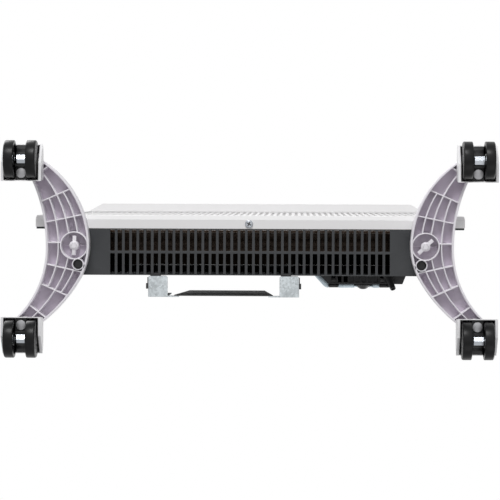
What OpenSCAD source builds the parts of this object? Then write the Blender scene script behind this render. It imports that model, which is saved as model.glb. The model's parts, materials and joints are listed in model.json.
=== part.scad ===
// Slim infrared convector heater on two crescent feet with twin-wheel castors.
// Millimetres. X runs across the front, -Y faces the room, Z is up.
// The origin is on the floor, midway between the four castor stems.

/* [Casing] */
// Width of the charcoal casing
body_w = 414; // [380:1:420]
// Depth of the charcoal casing
body_d = 49.4; // [46:0.5:60]
// Height of the charcoal casing
body_h = 396; // [380:1:440]
// Distance from the origin back to the rear face
body_rear_y = 28.3; // [26:0.1:34]
// Thickness of the casing sheet
sheet = 1.2; // [0.8:0.1:1.6]
// Thickness of the slotted bottom and top plates
plate = 2.2; // [1.6:0.1:3]
// Number of slots in one row
slot_count = 39; // [20:1:39]
// Distance from one slot to the next
slot_pitch = 7.76; // [7:0.01:8.2]
// Width of one slot
slot_w = 5; // [3:0.1:6]
// Margin between the slots and the edges of the plate
slot_edge = 0.6; // [0.6:0.05:3]
// Width of the bar between the two rows of slots
slot_bar = 2.7; // [2:0.1:5]

/* [Front panel] */
// Width of the white front panel
panel_w = 460; // [446:1:480]
// Height of the white front panel
panel_h = 402; // [396:1:450]
// Depth of the panel at its lower edge
panel_d = 12.3; // [11:0.1:16]
// Forward lean of the panel face at its top
panel_lean = 4.4; // [0:0.1:5]
// How far the upper brow stands proud of the face
brow_out = 8.5; // [4:0.5:14]
// Height of the upper brow
brow_h = 44; // [30:1:60]
// Wall of the panel
panel_wall = 1.8; // [1.2:0.1:2.4]
// Height of the bevel along the lower edge
bevel_h = 5; // [3:0.5:8]
// Depth of the bevel along the lower edge
bevel_d = 4.2; // [3:0.1:5]
// Distance from one slot of the front grille to the next
mesh_pitch = 8.4; // [7:0.1:12]
// Width of one slot of the front grille
mesh_slot = 4; // [2:0.1:5]
// Rows of slots in the front grille
mesh_rows = 6; // [4:1:8]

/* [Feet] */
// Depth of a foot from its rim to its top
foot_h = 18; // [16:0.5:24]
// Thickness of the foot floor
foot_floor = 3; // [2:0.1:4]
// Wall of the foot rim
foot_wall = 2.2; // [1.6:0.1:3]
// Thickness of the ribs inside a foot
rib_t = 1.3; // [1:0.1:2]
// Outer diameter of the ring round the wing screw
ring_d = 30; // [26:0.5:31]
// Diameter of the wing screw shank
wing_d = 6; // [5:0.5:8]
// Length over both wings of the screw
wing_l = 20.8; // [16:0.1:23]

/* [Castors] */
// How far the stems stand out beyond the casing
stem_out = 33.5; // [32:0.5:36]
// Distance between the stems from front to back
stem_span_y = 160.4; // [152:0.2:164]
// Diameter of a castor wheel
wheel_d = 40; // [38:0.5:42]
// Width of one wheel
wheel_w = 10.4; // [9:0.1:11]
// Gap between the two wheels of a castor
wheel_gap = 13; // [11.4:0.1:14]
// Distance from the stem to the wheel axle
trail = 14.5; // [12:0.5:16]
// Diameter of the stem shank in the foot
stem_d = 11; // [10:0.1:12]
// Diameter of the stem spigot in the castor
spigot_d = 8; // [7:0.1:8.4]
// Diameter of the axle pins in the wheels
axle_d = 6; // [5:0.1:7]
// Space between the hood and the foot
swivel_gap = 2.5; // [2:0.1:5]

/* [Controls] */
// Height of the control box underside above the casing floor
box_lift = 271; // [240:1:280]
// Height of the control box
box_h = 88; // [80:1:110]
// Depth of the control box behind the casing
box_d = 18.5; // [16:0.5:26]
// Thickness of the silver bezel band
bezel_t = 4.5; // [4:0.1:6]
// Base diameter of the thermostat knob
knob_d = 21.4; // [20:0.2:24]
// Diameter of the thermostat shaft
shaft_d = 6; // [5:0.1:7]
// Width of one rocker switch
rocker_w = 10.7; // [10:0.1:12]
// Height of one rocker switch
rocker_h = 21; // [20:0.5:26]

/* [Wall bracket] */
// Distance between the two wall screws
screw_span = 141; // [130:1:150]
// Width of one bracket arm
arm_w = 21; // [16:0.5:24]
// Reach of the arms behind the casing
arm_l = 23.3; // [18:0.1:30]
// Height of the upright flange of an arm
arm_h = 80; // [60:1:100]
// Diameter of the wall screw holes
screw_hole_d = 5.2; // [4:0.1:6]
// Height of the cross plate
cross_h = 125; // [90:1:150]

/* [Hidden] */
$fn = 48;
// Overrun of every cut, gap of pieces that move past each other, running fit of shafts
cut = 1;
gap = 0.3;
fit = 0.05;

// Castor sizes that follow from the wheel
wheel_r = wheel_d / 2;
wheel_round = 2.2;
wheel_ease = 1;
rim_t = 4;
wheel_web = 2.2;
hub_r = 6.5;
hub_bulge = 0.4;
hub_cap_r = 5;
hub_floor = 1;
wheel_in = wheel_gap / 2;
wheel_out = wheel_in + wheel_w;
pin_end = wheel_out - hub_floor - gap;
liner_t = 0.6;
hood_t = 1.1;
hood_cheek = 3;
hood_slack = 0.1;
liner_in = wheel_out + hub_bulge + gap;
liner_out = liner_in + liner_t;
hood_in = liner_out + hood_slack;
hood_half = hood_in + hood_cheek;
hood_space = 0.8;
roof_t = 1.2;
liner_r = wheel_r + hood_space;
roof_r = liner_r + roof_t;
hood_r = roof_r + hood_slack + hood_t;
hood_top = wheel_r + hood_r;
hood_rear = 2;
hood_back = wheel_r - trail + hood_rear;
hood_corner = 6;
hood_skirt = 1;
hood_skirt_run = 3;
hood_nose = 17.5;
liner_end = 4;
web_half = wheel_in - hood_space / 2;
web_low = 3;
web_front = 12;
boss_d = 13;
boss_z = wheel_r + sqrt(pow(liner_r, 2) - pow(trail - boss_d / 2, 2));
sleeve_d = 10;
sleeve_cone = 2;
saddle_r = 7.6;
saddle_low = 2;
head_d = 10.6;
head_t = 1.6;
head_z = wheel_r + web_low - gap - head_t;

// Heights
rim_z = hood_top + swivel_gap;
base_z = rim_z + foot_h;
top_z = base_z + body_h;

// Castor stem places
stem_x = body_w / 2 + stem_out;
stem_y = stem_span_y / 2;
collar_wall = 2;
collar_d = stem_d + 2 * collar_wall;
stem_in = foot_h - foot_floor;

// Foot curves: radii from a pole beside the foot, and circle centres given from that pole
pole_reach = 81;
pole_x = stem_x + pole_reach;
pole_y = -6.5;
in_r = 104.3;
out_r = 150.4;
in_front_c = [-63, 2.5];
in_rear_c = [1, 5.5];
out_front_c = [41, 4.5];
out_rear_c = [76, 2];
out_far_r = 160;
out_turn = 30;
front_end = -46;
rear_end = 47;
foot_step = 3;
rib_steps = 16;
out_rear_r = out_r - out_rear_c[0];
out_far_c = out_rear_c + (out_rear_r - out_far_r) * [cos(out_turn), sin(out_turn)];
turn_at = atan2(
    out_rear_c[1] + out_rear_r * sin(out_turn), out_rear_c[0] + out_rear_r * cos(out_turn));
pad_r = 15.5;
pad_shift = 8.2;
rib_angles = [-37.4, -23.8, -11.8, 12.4, 24, 37.6];
rib_recess = 1.6;
long_rib_shares = [0.26, 0.54, 0.775];
ring_in = 53.3;
ring_x = stem_x - ring_in;
ring_y = -3.5;
peg_in = 57.6;
peg_x = stem_x - peg_in;
peg_y = 16.5;
peg_d = 10;
peg_low = 3.5;
peg_wall = 1;
socket_wall = 2;
hub_d = 10;
hub_dome = 1.5;
wing_t = 3.9;
wing_turn_left = 93;
wing_turn_right = 136;
wing_h = 9;
nut_w = 12;
nut_t = 5;
spoke_low = 11.5;
mark_t = 0.6;
front_mark_d = 14;
front_mark_y = ring_y - 22;
ring_mark_d = 12.5;
ring_mark_y = ring_y - 9.9;
rear_mark_d = 5.6;
rear_mark_y = ring_y + 33.1;

// Casing places
flange_t = 2.1;
flange_inset = 0.6;
lip_w = 1.4;
body_front_y = body_rear_y - body_d;
panel_rear_y = body_front_y - flange_t;
panel_front_y = panel_rear_y - panel_d;
flange_w = panel_w - 2 * flange_inset;
slot_l = (body_d - slot_bar) / 2 - slot_edge;
frame_t = 12;
frame_x = body_w / 2 - sheet - gap;
frame_in_x = frame_x - frame_t;
frame_front_y = body_front_y + gap;
frame_rear_y = body_rear_y - sheet;
inner_z = base_z + plate;
inner_top = top_z - plate;

// Screws of the casing
screw_head_d = 8.6;
screw_head_t = 2.4;
screw_shank_d = 3.6;
screw_shank_l = 8;
panel_screw_x = -1;
panel_screw_back = 3.8;
panel_screw_y = panel_rear_y - panel_screw_back;
rear_screw_x = frame_x - frame_t / 2;

// Panel places
panel_top = base_z + panel_h;
face_low_z = base_z + bevel_h;
brow_z = panel_top - brow_h;
brow_slope = 8;
brow_round = 8;
brow_end = 15;
brow_in = 24;
panel_corner = 8;
window_edge = 27;
window_x = panel_w / 2 - window_edge;
window_low = 40;
window_high = 10;
lean_angle = atan2(panel_lean, panel_h - bevel_h);
mesh_t = 0.8;
mesh_land = 5;

// Heating pieces
mica_t = 2;
mica_y = body_front_y + mica_t;
mica_low = 56;
mica_high = 40;
mica_border = 14;
mica_frame_t = 1.2;
shield_back = 25.3;
shield_y = body_rear_y - shield_back;
shield_low = 44;
shield_high = 24;
element_back = 34.3;
element_y = body_rear_y - element_back;
element_lift = 26;
element_z = inner_z + element_lift;
core_d = 11;
fin_r = 12;
fin_t = 1;
fin_count = 6;
end_d = 8.4;
end_gap = 1.5;
ear_t = 1.2;
ear_w = 22;
ear_d = 26;
ear_reach = 5;
ear_x = frame_in_x - ear_reach;
cutout_d = 16;
cutout_t = 7;
cutout_x = 60;
cutout_drop = 70;
cutout_z = inner_top - cutout_drop;
tilt_size = [18, 13, 22];
tilt_in = 30.5;
tilt_x = ring_x - tilt_in;
tilt_y = shield_y + nut_t;
block_size = [12, 20, 30];
block_gap = 2.5;
block_y = shield_y + block_gap;
block_lift = 48;
block_z = inner_z + block_lift;
terminal_count = 3;
wire_d = 5;
wire_in = 8.3;
wire_y = body_rear_y - wire_in;
wire_x = frame_in_x - block_size[0] / 2;
wire_end = 8;

// Control box places
box_z = base_z + box_lift;
box_in = 22.5;
box_right = body_w / 2 - box_in;
box_l = 113.1;
box_left = box_right - box_l;
box_slope = 17;
box_taper = 7.5;
box_wall = 1.8;
box_rear_y = body_rear_y + box_d;
box_vent_in = 20.5;
box_vent_x = box_left + box_vent_in;
box_vent_pitch = 7.25;
box_vent_w = 5;
box_vent_l = box_d - 2 * box_wall - gap;
bezel_side = 7.8;
bezel_round = 9;
bezel_lip = 8;
bezel_in = 22;
bezel_right = box_right - bezel_in;
bezel_rear_y = box_rear_y + bezel_t;
rocker_side = 0.75;
rocker_in = 29.3;
rocker_xs = [box_left + box_slope + rocker_side + rocker_w / 2, box_right - rocker_in];
knob_share = 0.588;
knob_x = rocker_xs[0] + knob_share * (rocker_xs[1] - rocker_xs[0]);
knob_z = box_z + knob_d / 2;
knob_h = 6.2;
knob_profile_shares = [[1, 0], [1, 0.14], [0.94, 0.22], [0.72, 0.46], [0.46, 0.8],
    [0.36, 0.91], [0.2, 0.98], [0, 1]];
knob_bore_l = 4;
knob_room = 0.5;
pointer_w = 1.6;
pointer_h_share = 0.72;
pointer_r_shares = [0.3, 0.75];
rocker_room = 0.5;
rocker_frame = 1.3;
rocker_depth = 7.5;
rocker_pin_r = 1;
rocker_pin_reach = 0.8;
rocker_tilt = 6;
rocker_well = 3.6;
rocker_back = 1.6;
rocker_edge = 2;
rocker_mid = 1.3;
rocker_sink = 3.4;
rocker_pivot_y = bezel_rear_y - rocker_sink;
rocker_z = box_z + rocker_h / 2;
thermo_room = 2.65;
thermo_d = 14;
thermo_h = 30;
thermo_half = rocker_xs[1] - rocker_w / 2 - thermo_room - knob_x;
bush_d = 10;
wire_z = box_z + rocker_h;
wire_entry_in = 12;
wire_entry_x = box_right - wire_entry_in;
gland_in = 25.4;
gland_x = box_right - gland_in;
box_vent_room = 1.9;
box_vent_count = floor((gland_x - box_vent_room - box_vent_x) / box_vent_pitch);
gland_back = 7.7;
gland_y = body_rear_y + gland_back;
gland_tilt = 55;
gland_turn = 69;
gland_l = 21;
gland_d = 8;
gland_end_d = 6.4;
gland_flange_d = 11;
gland_flange_t = 3;
gland_neck_d = 6.6;
cord_hole_d = 4.6;

// Rear vents beside the bezel, and screws of the rear cover
vent_l = 22;
vent_side = 52;
vent_room = 15;
vent_margin = 26;
vent_left = vent_side - body_w / 2;
vent_right = box_left - bezel_side - vent_room;
vent_count = floor((vent_right - vent_left + slot_pitch - slot_w) / slot_pitch);
vent_mid_x = (vent_left + vent_right) / 2;
rear_screw_edge = 18;
rear_screw_share = 0.454;
rear_screw_zs = [
    inner_z + rear_screw_edge, box_z + box_h + rear_screw_share * (top_z - box_z - box_h)
];

// Wall bracket places
zinc_t = 1.2;
arm_mid = -28;
arm_xs = [arm_mid - screw_span / 2, arm_mid + screw_span / 2];
arm_start = 0.5;
arm_y = body_rear_y + arm_start;
arm_rear_y = body_rear_y + arm_l;
arm_corner = 1.5;
bracket_low = base_z - zinc_t;
bracket_hole_z = bracket_low + arm_h - arm_w / 2;
tongue_w = 11;
hook_w = slot_w - gap;
tongue_y = body_rear_y - slot_edge - zinc_t - gap;
jog_lap = 3;
jog_reach = 12;
jog_h = 12;
cross_t = 1.2;
cross_set = 1.2;
cross_y = arm_rear_y - cross_set - cross_t;
cross_in = 17.5;
cross_slope = 10.5;
cross_low_half = screw_span / 2 - cross_in;
cross_high_half = cross_low_half - cross_slope;
bumper_t = 2.2;
bumper_l = 6;
bumper_skin = 0.8;
bumper_back = 8.5;
bumper_y = body_rear_y + bumper_back;

// Shapes that many pieces use

// A box between two corners
module slab(low, high) {
    translate(low) cube(high - low);
}

module rod_x(from, to, y, z, d) {
    translate([from, y, z]) rotate([0, 90, 0]) cylinder(h = to - from, d = d);
}

module rod_y(x, from, to, z, d) {
    translate([x, from, z]) rotate([-90, 0, 0]) cylinder(h = to - from, d = d);
}

module rod_z(x, y, from, to, d) {
    translate([x, y, from]) cylinder(h = to - from, d = d);
}

// The same shape on the left and on the right
module both_sides() {
    children();
    mirror([1, 0, 0]) children();
}

// Turns an outline drawn in depth and height into a bar across X
module across(from, to) {
    translate([from, 0, 0]) rotate([90, 0, 90]) linear_extrude(to - from) children();
}

// One slotted plate with two rows of slots, from its underside and its front edge
module slotted_plate(z, front) {
    translate([0, 0, z]) linear_extrude(plate) difference() {
        translate([-body_w / 2, front]) square([body_w, body_rear_y - front]);
        for (i = [0:slot_count - 1], row = [0, 1])
            translate([
                (i - (slot_count - 1) / 2) * slot_pitch - slot_w / 2,
                body_front_y + slot_edge + row * (slot_l + slot_bar)
            ]) square([slot_w, slot_l]);
    }
}

// Front panel

// Side outline of the face, inset by a wall, open behind
function face_side(inset, rear) = [
    [rear, base_z + inset],
    [panel_front_y + bevel_d, base_z + inset],
    [panel_front_y + inset, face_low_z],
    [panel_front_y - panel_lean + inset, panel_top - inset],
    [rear, panel_top - inset]
];

// Side outline of the brow, inset by a wall
function brow_side(inset, rear) = let (
    root = panel_front_y - panel_lean,
    edge = root - brow_out + inset
) concat(
    [[rear, brow_z + inset], [root, brow_z + inset], [edge, brow_z + brow_slope + inset]],
    [for (a = [0:15:90]) [
        edge + brow_round * (1 - cos(a)),
        panel_top - inset - brow_round * (1 - sin(a))
    ]],
    [[rear, panel_top - inset]]
);

// Plan of the face with its two rounded front corners
module face_plan(inset, rear) {
    front = panel_front_y - panel_lean + inset;
    half = panel_w / 2 - inset;
    square_front = front + panel_corner;
    translate([-half, square_front]) square([2 * half, rear - square_front]);
    translate([-half + panel_corner, front])
        square([2 * (half - panel_corner), square_front - front]);
    for (side = [-1, 1])
        translate([side * (half - panel_corner), square_front]) circle(r = panel_corner);
}

// Plan of the brow with its slanted ends
module brow_plan(inset, rear) {
    root = panel_front_y - panel_lean;
    half = panel_w / 2 - brow_in - inset;
    polygon([
        [-half, rear], [-half, root], [-half + brow_end, root - brow_out + inset],
        [half - brow_end, root - brow_out + inset], [half, root], [half, rear]
    ]);
}

module panel_solid(inset, rear) {
    half = panel_w / 2;
    intersection() {
        across(-half, half) polygon(face_side(inset, rear));
        translate([0, 0, base_z]) linear_extrude(panel_h) face_plan(inset, rear);
    }
    intersection() {
        across(-half, half) polygon(brow_side(inset, rear));
        translate([0, 0, base_z]) linear_extrude(panel_h) brow_plan(inset, rear);
    }
}

module front_panel() {
    color("whitesmoke") difference() {
        union() {
            panel_solid(0, panel_rear_y);
            slab([-body_w / 2, panel_rear_y - cut, base_z],
                [body_w / 2, panel_rear_y + lip_w, base_z + panel_wall]);
        }
        panel_solid(panel_wall, panel_rear_y + cut);
        slab([-window_x, panel_front_y - panel_lean - cut, base_z + window_low],
            [window_x, panel_front_y + panel_wall + cut, brow_z - window_high]);
        rod_z(panel_screw_x, panel_screw_y, base_z - cut, base_z + panel_wall + cut,
            screw_shank_d + 2 * fit);
    }
}

// Slotted sheet behind the window of the panel, leaning with its face
module front_grille() {
    low = window_low - bevel_h - mesh_land;
    high = brow_z - window_high + mesh_land - face_low_z;
    row_l = (high - low - mesh_land) / mesh_rows;
    columns = floor((2 * window_x - mesh_land) / mesh_pitch);
    color("white") translate([0, panel_front_y, face_low_z]) rotate([lean_angle, 0, 0])
        translate([0, panel_wall + fit + mesh_t, 0]) rotate([90, 0, 0])
        linear_extrude(mesh_t) difference() {
            translate([-window_x - mesh_land, low])
                square([2 * (window_x + mesh_land), high - low]);
            for (i = [0:columns - 1], row = [0:mesh_rows - 1])
                translate([
                    (i - (columns - 1) / 2) * mesh_pitch - mesh_slot / 2,
                    low + mesh_land + row * row_l
                ]) square([mesh_slot, row_l - mesh_land]);
        }
}

// Casing

module rear_vents(low) {
    for (i = [0:vent_count - 1], row = [0, 1])
        translate([vent_mid_x + (i - (vent_count - 1) / 2) * slot_pitch - slot_w / 2,
            body_rear_y - sheet - cut, low + row * (vent_l + slot_bar)])
            cube([slot_w, sheet + 2 * cut, vent_l]);
}

module rear_cover() {
    color([0.21, 0.22, 0.23]) difference() {
        union() {
            slab([-body_w / 2, body_front_y, inner_z], [body_w / 2, body_rear_y, inner_top]);
            slab([-flange_w / 2, panel_rear_y, inner_z], [flange_w / 2, body_front_y, inner_top]);
        }
        slab([-body_w / 2 + sheet, panel_rear_y - cut, inner_z - cut],
            [body_w / 2 - sheet, body_rear_y - sheet, inner_top + cut]);
        rear_vents(inner_z + vent_margin);
        rear_vents(inner_top - vent_margin - 2 * vent_l - slot_bar);
        rod_y(wire_entry_x, body_rear_y - sheet - cut, body_rear_y + cut, wire_z, wire_d + 2 * gap);
        both_sides() for (z = rear_screw_zs)
            rod_y(rear_screw_x, body_rear_y - sheet - cut, body_rear_y + cut, z,
                screw_shank_d + 2 * fit);
    }
}

module bottom_grille() {
    color([0.21, 0.22, 0.23]) difference() {
        slotted_plate(base_z, panel_rear_y + lip_w + gap);
        both_sides()
            rod_z(ring_x, ring_y, base_z - cut, inner_z + cut, wing_d + 2 * gap);
    }
}

module top_grille() {
    color([0.21, 0.22, 0.23]) slotted_plate(inner_top, panel_rear_y + gap);
}

// Upright channel that carries the heating pieces, its open side to the casing wall
module inner_frame() {
    color("silver") difference() {
        slab([frame_in_x, frame_front_y, inner_z], [frame_x, frame_rear_y, inner_top]);
        slab([frame_in_x + sheet, frame_front_y + sheet, inner_z - cut],
            [frame_x + cut, frame_rear_y - sheet, inner_top + cut]);
        for (z = rear_screw_zs)
            rod_y(rear_screw_x, frame_rear_y - sheet - cut, frame_rear_y + cut, z,
                screw_shank_d + 2 * fit);
    }
}

module infrared_panel() {
    color([0.45, 0.34, 0.24])
        slab([-frame_in_x + mica_border / 2, mica_y, inner_z + mica_low],
            [frame_in_x - mica_border / 2, mica_y + mica_t, inner_top - mica_high]);
}

module infrared_frame() {
    rear = mica_y + mica_t + mica_frame_t;
    color("silver") difference() {
        slab([-frame_in_x, mica_y + mica_t, inner_z + mica_low - mica_border / 2],
            [frame_in_x, rear, inner_top - mica_high + mica_border / 2]);
        slab([-frame_in_x + mica_border, mica_y, inner_z + mica_low + mica_border],
            [frame_in_x - mica_border, rear + cut, inner_top - mica_high - mica_border]);
    }
}

// Sheet behind the element, bent back to the rear cover at its top
module heat_shield() {
    high = inner_top - shield_high;
    color("gainsboro") {
        slab([-frame_in_x, shield_y, inner_z + shield_low], [frame_in_x, shield_y + sheet, high]);
        slab([-frame_in_x, shield_y, high - sheet], [frame_in_x, frame_rear_y - gap, high]);
    }
}

// Aluminium bar with fins along its whole length
module convector_element() {
    core_x = ear_x - gap;
    color([0.3, 0.27, 0.25]) {
        rod_x(-core_x, core_x, element_y, element_z, core_d);
        rod_x(-frame_in_x + end_gap, frame_in_x - end_gap, element_y, element_z, end_d);
        for (i = [0:fin_count - 1])
            translate([0, element_y, element_z]) rotate([i * 360 / fin_count, 0, 0])
                slab([-core_x, -fin_t / 2, 0], [core_x, fin_t / 2, fin_r]);
    }
}

// Pierced ears that hold the ends of the element on the channels
module element_brackets() {
    color("silver") both_sides() {
        difference() {
            slab([ear_x, element_y - ear_w / 2, element_z - ear_d / 2],
                [ear_x + ear_t, element_y + ear_w / 2, element_z + ear_d / 2]);
            rod_x(ear_x - cut, ear_x + ear_t + cut, element_y, element_z, end_d + 2 * fit);
        }
        slab([ear_x + ear_t, element_y - ear_w / 2, element_z - ear_d / 2],
            [frame_in_x, element_y + ear_w / 2, element_z - ear_d / 2 + ear_t]);
    }
}

module thermal_cutout() {
    color("beige") rod_y(cutout_x, shield_y + sheet, shield_y + sheet + cutout_t, cutout_z,
        cutout_d);
    color("silver") rod_y(cutout_x, shield_y + sheet + cutout_t,
        shield_y + sheet + cutout_t + ear_t, cutout_z, cutout_d / 2);
}

module tilt_switch() {
    color("ivory") translate([-tilt_x - tilt_size[0], tilt_y, inner_z]) cube(tilt_size);
}

module terminal_block() {
    color("ivory") difference() {
        translate([frame_in_x - block_size[0], block_y, block_z]) cube(block_size);
        for (i = [0:terminal_count - 1])
            rod_x(frame_in_x - block_size[0] - cut, frame_in_x - block_size[0] / 2,
                block_y + (i + 1) * block_size[1] / (terminal_count + 1),
                block_z + block_size[2] / 2, block_size[1] / (2 * terminal_count));
    }
}

module wiring_loom() {
    color([0.15, 0.15, 0.16]) {
        rod_z(wire_x, wire_y, block_z + block_size[2], wire_z, wire_d);
        translate([wire_x, wire_y, wire_z]) sphere(d = wire_d);
        rod_x(wire_entry_x, wire_x, wire_y, wire_z, wire_d);
        translate([wire_entry_x, wire_y, wire_z]) sphere(d = wire_d);
        rod_y(wire_entry_x, wire_y, body_rear_y + wire_end, wire_z, wire_d);
    }
}

// Control box

// Plan of the box, inset by a wall
module box_plan(inset, front) {
    polygon([
        [box_left + inset, front],
        [box_left + inset, body_rear_y],
        [box_left + box_slope + inset / 2, box_rear_y - inset],
        [box_right - box_taper - inset, box_rear_y - inset],
        [box_right - inset, body_rear_y],
        [box_right - inset, front]
    ]);
}

module control_housing() {
    wall_y = box_rear_y - box_wall;
    color([0.09, 0.09, 0.1]) difference() {
        translate([0, 0, box_z]) linear_extrude(box_h) box_plan(0, body_rear_y);
        translate([0, 0, box_z + box_wall]) linear_extrude(box_h - 2 * box_wall)
            box_plan(box_wall, body_rear_y - cut);
        for (i = [0:box_vent_count - 1])
            translate([box_vent_x + i * box_vent_pitch, body_rear_y + box_wall, box_z - cut])
                cube([box_vent_w, box_vent_l, box_wall + 2 * cut]);
        rod_y(knob_x, wall_y - cut, box_rear_y + cut, knob_z, bush_d + 2 * fit);
        for (x = rocker_xs)
            slab([x - rocker_w / 2 - fit, wall_y - cut, box_z + box_wall],
                [x + rocker_w / 2 + fit, box_rear_y + cut, box_z + rocker_h + fit]);
        rod_z(gland_x, gland_y, box_z - cut, box_z + box_wall + cut, gland_neck_d + 2 * fit);
    }
}

// Plan of the silver band along the slanted end and the rear of the box
module bezel_plan() {
    slant = atan2(box_d, box_slope);
    start_x = box_left - bezel_side;
    corner_x = start_x + (bezel_rear_y - body_rear_y) / tan(slant);
    round_x = corner_x + bezel_round * tan(slant / 2);
    polygon(concat(
        [[box_left, body_rear_y], [start_x, body_rear_y]],
        [for (a = [90 + slant:-slant / 4:90])
            [round_x + bezel_round * cos(a), bezel_rear_y - bezel_round * (1 - sin(a))]],
        [[bezel_right, bezel_rear_y], [bezel_right, box_rear_y],
            [box_left + box_slope, box_rear_y]]
    ));
}

module control_bezel() {
    band_y = box_rear_y - cut;
    window_left = box_left + box_slope + bezel_lip;
    color("lightgray") difference() {
        translate([0, 0, box_z]) linear_extrude(box_h) bezel_plan();
        slab([window_left, band_y, box_z + rocker_h + bezel_lip],
            [bezel_right - bezel_lip, bezel_rear_y + cut, box_z + box_h - bezel_lip]);
        for (x = rocker_xs)
            slab([x - rocker_w / 2 - rocker_room, band_y, box_z - cut],
                [x + rocker_w / 2 + rocker_room, bezel_rear_y + cut,
                    box_z + rocker_h + rocker_room]);
        slab([knob_x - knob_d / 2 - knob_room, band_y, box_z - cut],
            [knob_x + knob_d / 2 + knob_room, bezel_rear_y + cut, knob_z]);
        rod_y(knob_x, band_y, bezel_rear_y + cut, knob_z, knob_d + 2 * knob_room);
    }
}

module thermostat_body() {
    wall_y = box_rear_y - box_wall;
    color("ivory") difference() {
        union() {
            slab([knob_x - thermo_half, wall_y - thermo_d, box_z + box_wall + gap],
                [knob_x + thermo_half, wall_y, box_z + box_wall + gap + thermo_h]);
            rod_y(knob_x, wall_y - fit, box_rear_y, knob_z, bush_d);
        }
        rod_y(knob_x, wall_y - thermo_d / 2, box_rear_y + cut, knob_z, shaft_d + 2 * fit);
    }
}

module thermostat_shaft() {
    color("silver") rod_y(knob_x, box_rear_y - box_wall - thermo_d / 2 + gap,
        box_rear_y + gap + knob_bore_l, knob_z, shaft_d);
}

module thermostat_knob() {
    start = box_rear_y + gap;
    color([0.1, 0.1, 0.11]) difference() {
        union() {
            translate([knob_x, start, knob_z]) rotate([-90, 0, 0]) rotate_extrude()
                polygon(concat([[0, 0]], [for (share = knob_profile_shares)
                    [share[0] * knob_d / 2, share[1] * knob_h]]));
            slab([knob_x - pointer_w / 2, start, knob_z + pointer_r_shares[0] * knob_d / 2],
                [knob_x + pointer_w / 2, start + pointer_h_share * knob_h,
                    knob_z + pointer_r_shares[1] * knob_d / 2]);
        }
        rod_y(knob_x, start - cut, start + knob_bore_l, knob_z, shaft_d);
    }
}

module switch_bodies() {
    half = rocker_w / 2;
    color([0.12, 0.12, 0.13]) for (x = rocker_xs) difference() {
        union() {
            slab([x - half, box_rear_y, box_z], [x + half, bezel_rear_y - gap, box_z + rocker_h]);
            slab([x - half, box_rear_y - rocker_depth, box_z + box_wall + fit],
                [x + half, box_rear_y, box_z + rocker_h]);
        }
        slab([x - half + rocker_frame, rocker_pivot_y - rocker_well, box_z + rocker_frame],
            [x + half - rocker_frame, bezel_rear_y + cut, box_z + rocker_h - rocker_frame]);
        rod_x(x - half - cut, x + half + cut, rocker_pivot_y, rocker_z, 2 * (rocker_pin_r + fit));
    }
}

// One rocker on its trunnions, drawn with its lower end pressed
module rocker(x) {
    half_w = rocker_w / 2 - rocker_frame - gap;
    half_h = rocker_h / 2 - rocker_frame - 2 * gap;
    color([0.1, 0.1, 0.11]) translate([x, rocker_pivot_y, rocker_z]) {
        rotate([-rocker_tilt, 0, 0]) across(-half_w, half_w)
            polygon([
                [-rocker_back, -half_h], [rocker_edge, -half_h], [rocker_mid, 0],
                [rocker_edge, half_h], [-rocker_back, half_h]
            ]);
        rod_x(-half_w - gap - rocker_pin_reach, half_w + gap + rocker_pin_reach, 0, 0,
            2 * rocker_pin_r);
    }
}

// Bush and tapered sleeve where the supply cord would leave the box
module cord_gland() {
    color([0.1, 0.1, 0.11]) difference() {
        union() {
            rod_z(gland_x, gland_y, box_z - gland_flange_t, box_z, gland_flange_d);
            rod_z(gland_x, gland_y, box_z, box_z + box_wall, gland_neck_d);
            translate([gland_x, gland_y, box_z - gland_flange_t])
                rotate([0, 0, gland_turn]) rotate([0, 180 - gland_tilt, 0])
                cylinder(h = gland_l, d1 = gland_d, d2 = gland_end_d);
        }
        translate([gland_x, gland_y, box_z - gland_flange_t])
            rotate([0, 0, gland_turn]) rotate([0, 180 - gland_tilt, 0])
            translate([0, 0, gland_l / 2]) cylinder(h = gland_l, d = cord_hole_d);
    }
}

// Wall bracket

// Middle of the slot nearest to a place across the casing
function slot_near(x) = let (middle = (slot_count - 1) / 2)
    (round(x / slot_pitch + middle) - middle) * slot_pitch;

// One arm: a tab under the casing, its hook in a slot, its upright flange and its jog
module bracket_arm(x, inward) {
    edge = x + inward * arm_w / 2;
    jog_in = edge - inward * jog_lap;
    jog_out = edge + inward * jog_reach;
    hook_x = slot_near(x);
    color([0.7, 0.73, 0.75]) {
        translate([0, 0, bracket_low]) linear_extrude(zinc_t) polygon([
            [x - arm_w / 2, arm_rear_y], [x - arm_w / 2, arm_y + arm_corner],
            [x - arm_w / 2 + arm_corner, arm_y], [x + arm_w / 2 - arm_corner, arm_y],
            [x + arm_w / 2, arm_y + arm_corner], [x + arm_w / 2, arm_rear_y]
        ]);
        slab([hook_x - tongue_w / 2, tongue_y, bracket_low],
            [hook_x + tongue_w / 2, arm_y + cut, base_z]);
        slab([hook_x - hook_w / 2, tongue_y, bracket_low],
            [hook_x + hook_w / 2, tongue_y + zinc_t, inner_z]);
        difference() {
            slab([x - arm_w / 2, arm_rear_y - zinc_t, bracket_low],
                [x + arm_w / 2, arm_rear_y, bracket_low + arm_h]);
            rod_y(x, arm_rear_y - zinc_t - cut, arm_rear_y + cut, bracket_hole_z, screw_hole_d);
        }
        slab([min(jog_in, jog_out), cross_y + cross_t, bracket_low],
            [max(jog_in, jog_out), arm_rear_y, bracket_low + jog_h]);
    }
}

module bracket_plate() {
    color([0.08, 0.08, 0.08]) translate([arm_mid, cross_y + cross_t, bracket_low])
        rotate([90, 0, 0]) linear_extrude(cross_t) polygon([
            [-cross_low_half, 0], [cross_low_half, 0],
            [cross_high_half, cross_h], [-cross_high_half, cross_h]
        ]);
}

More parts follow.
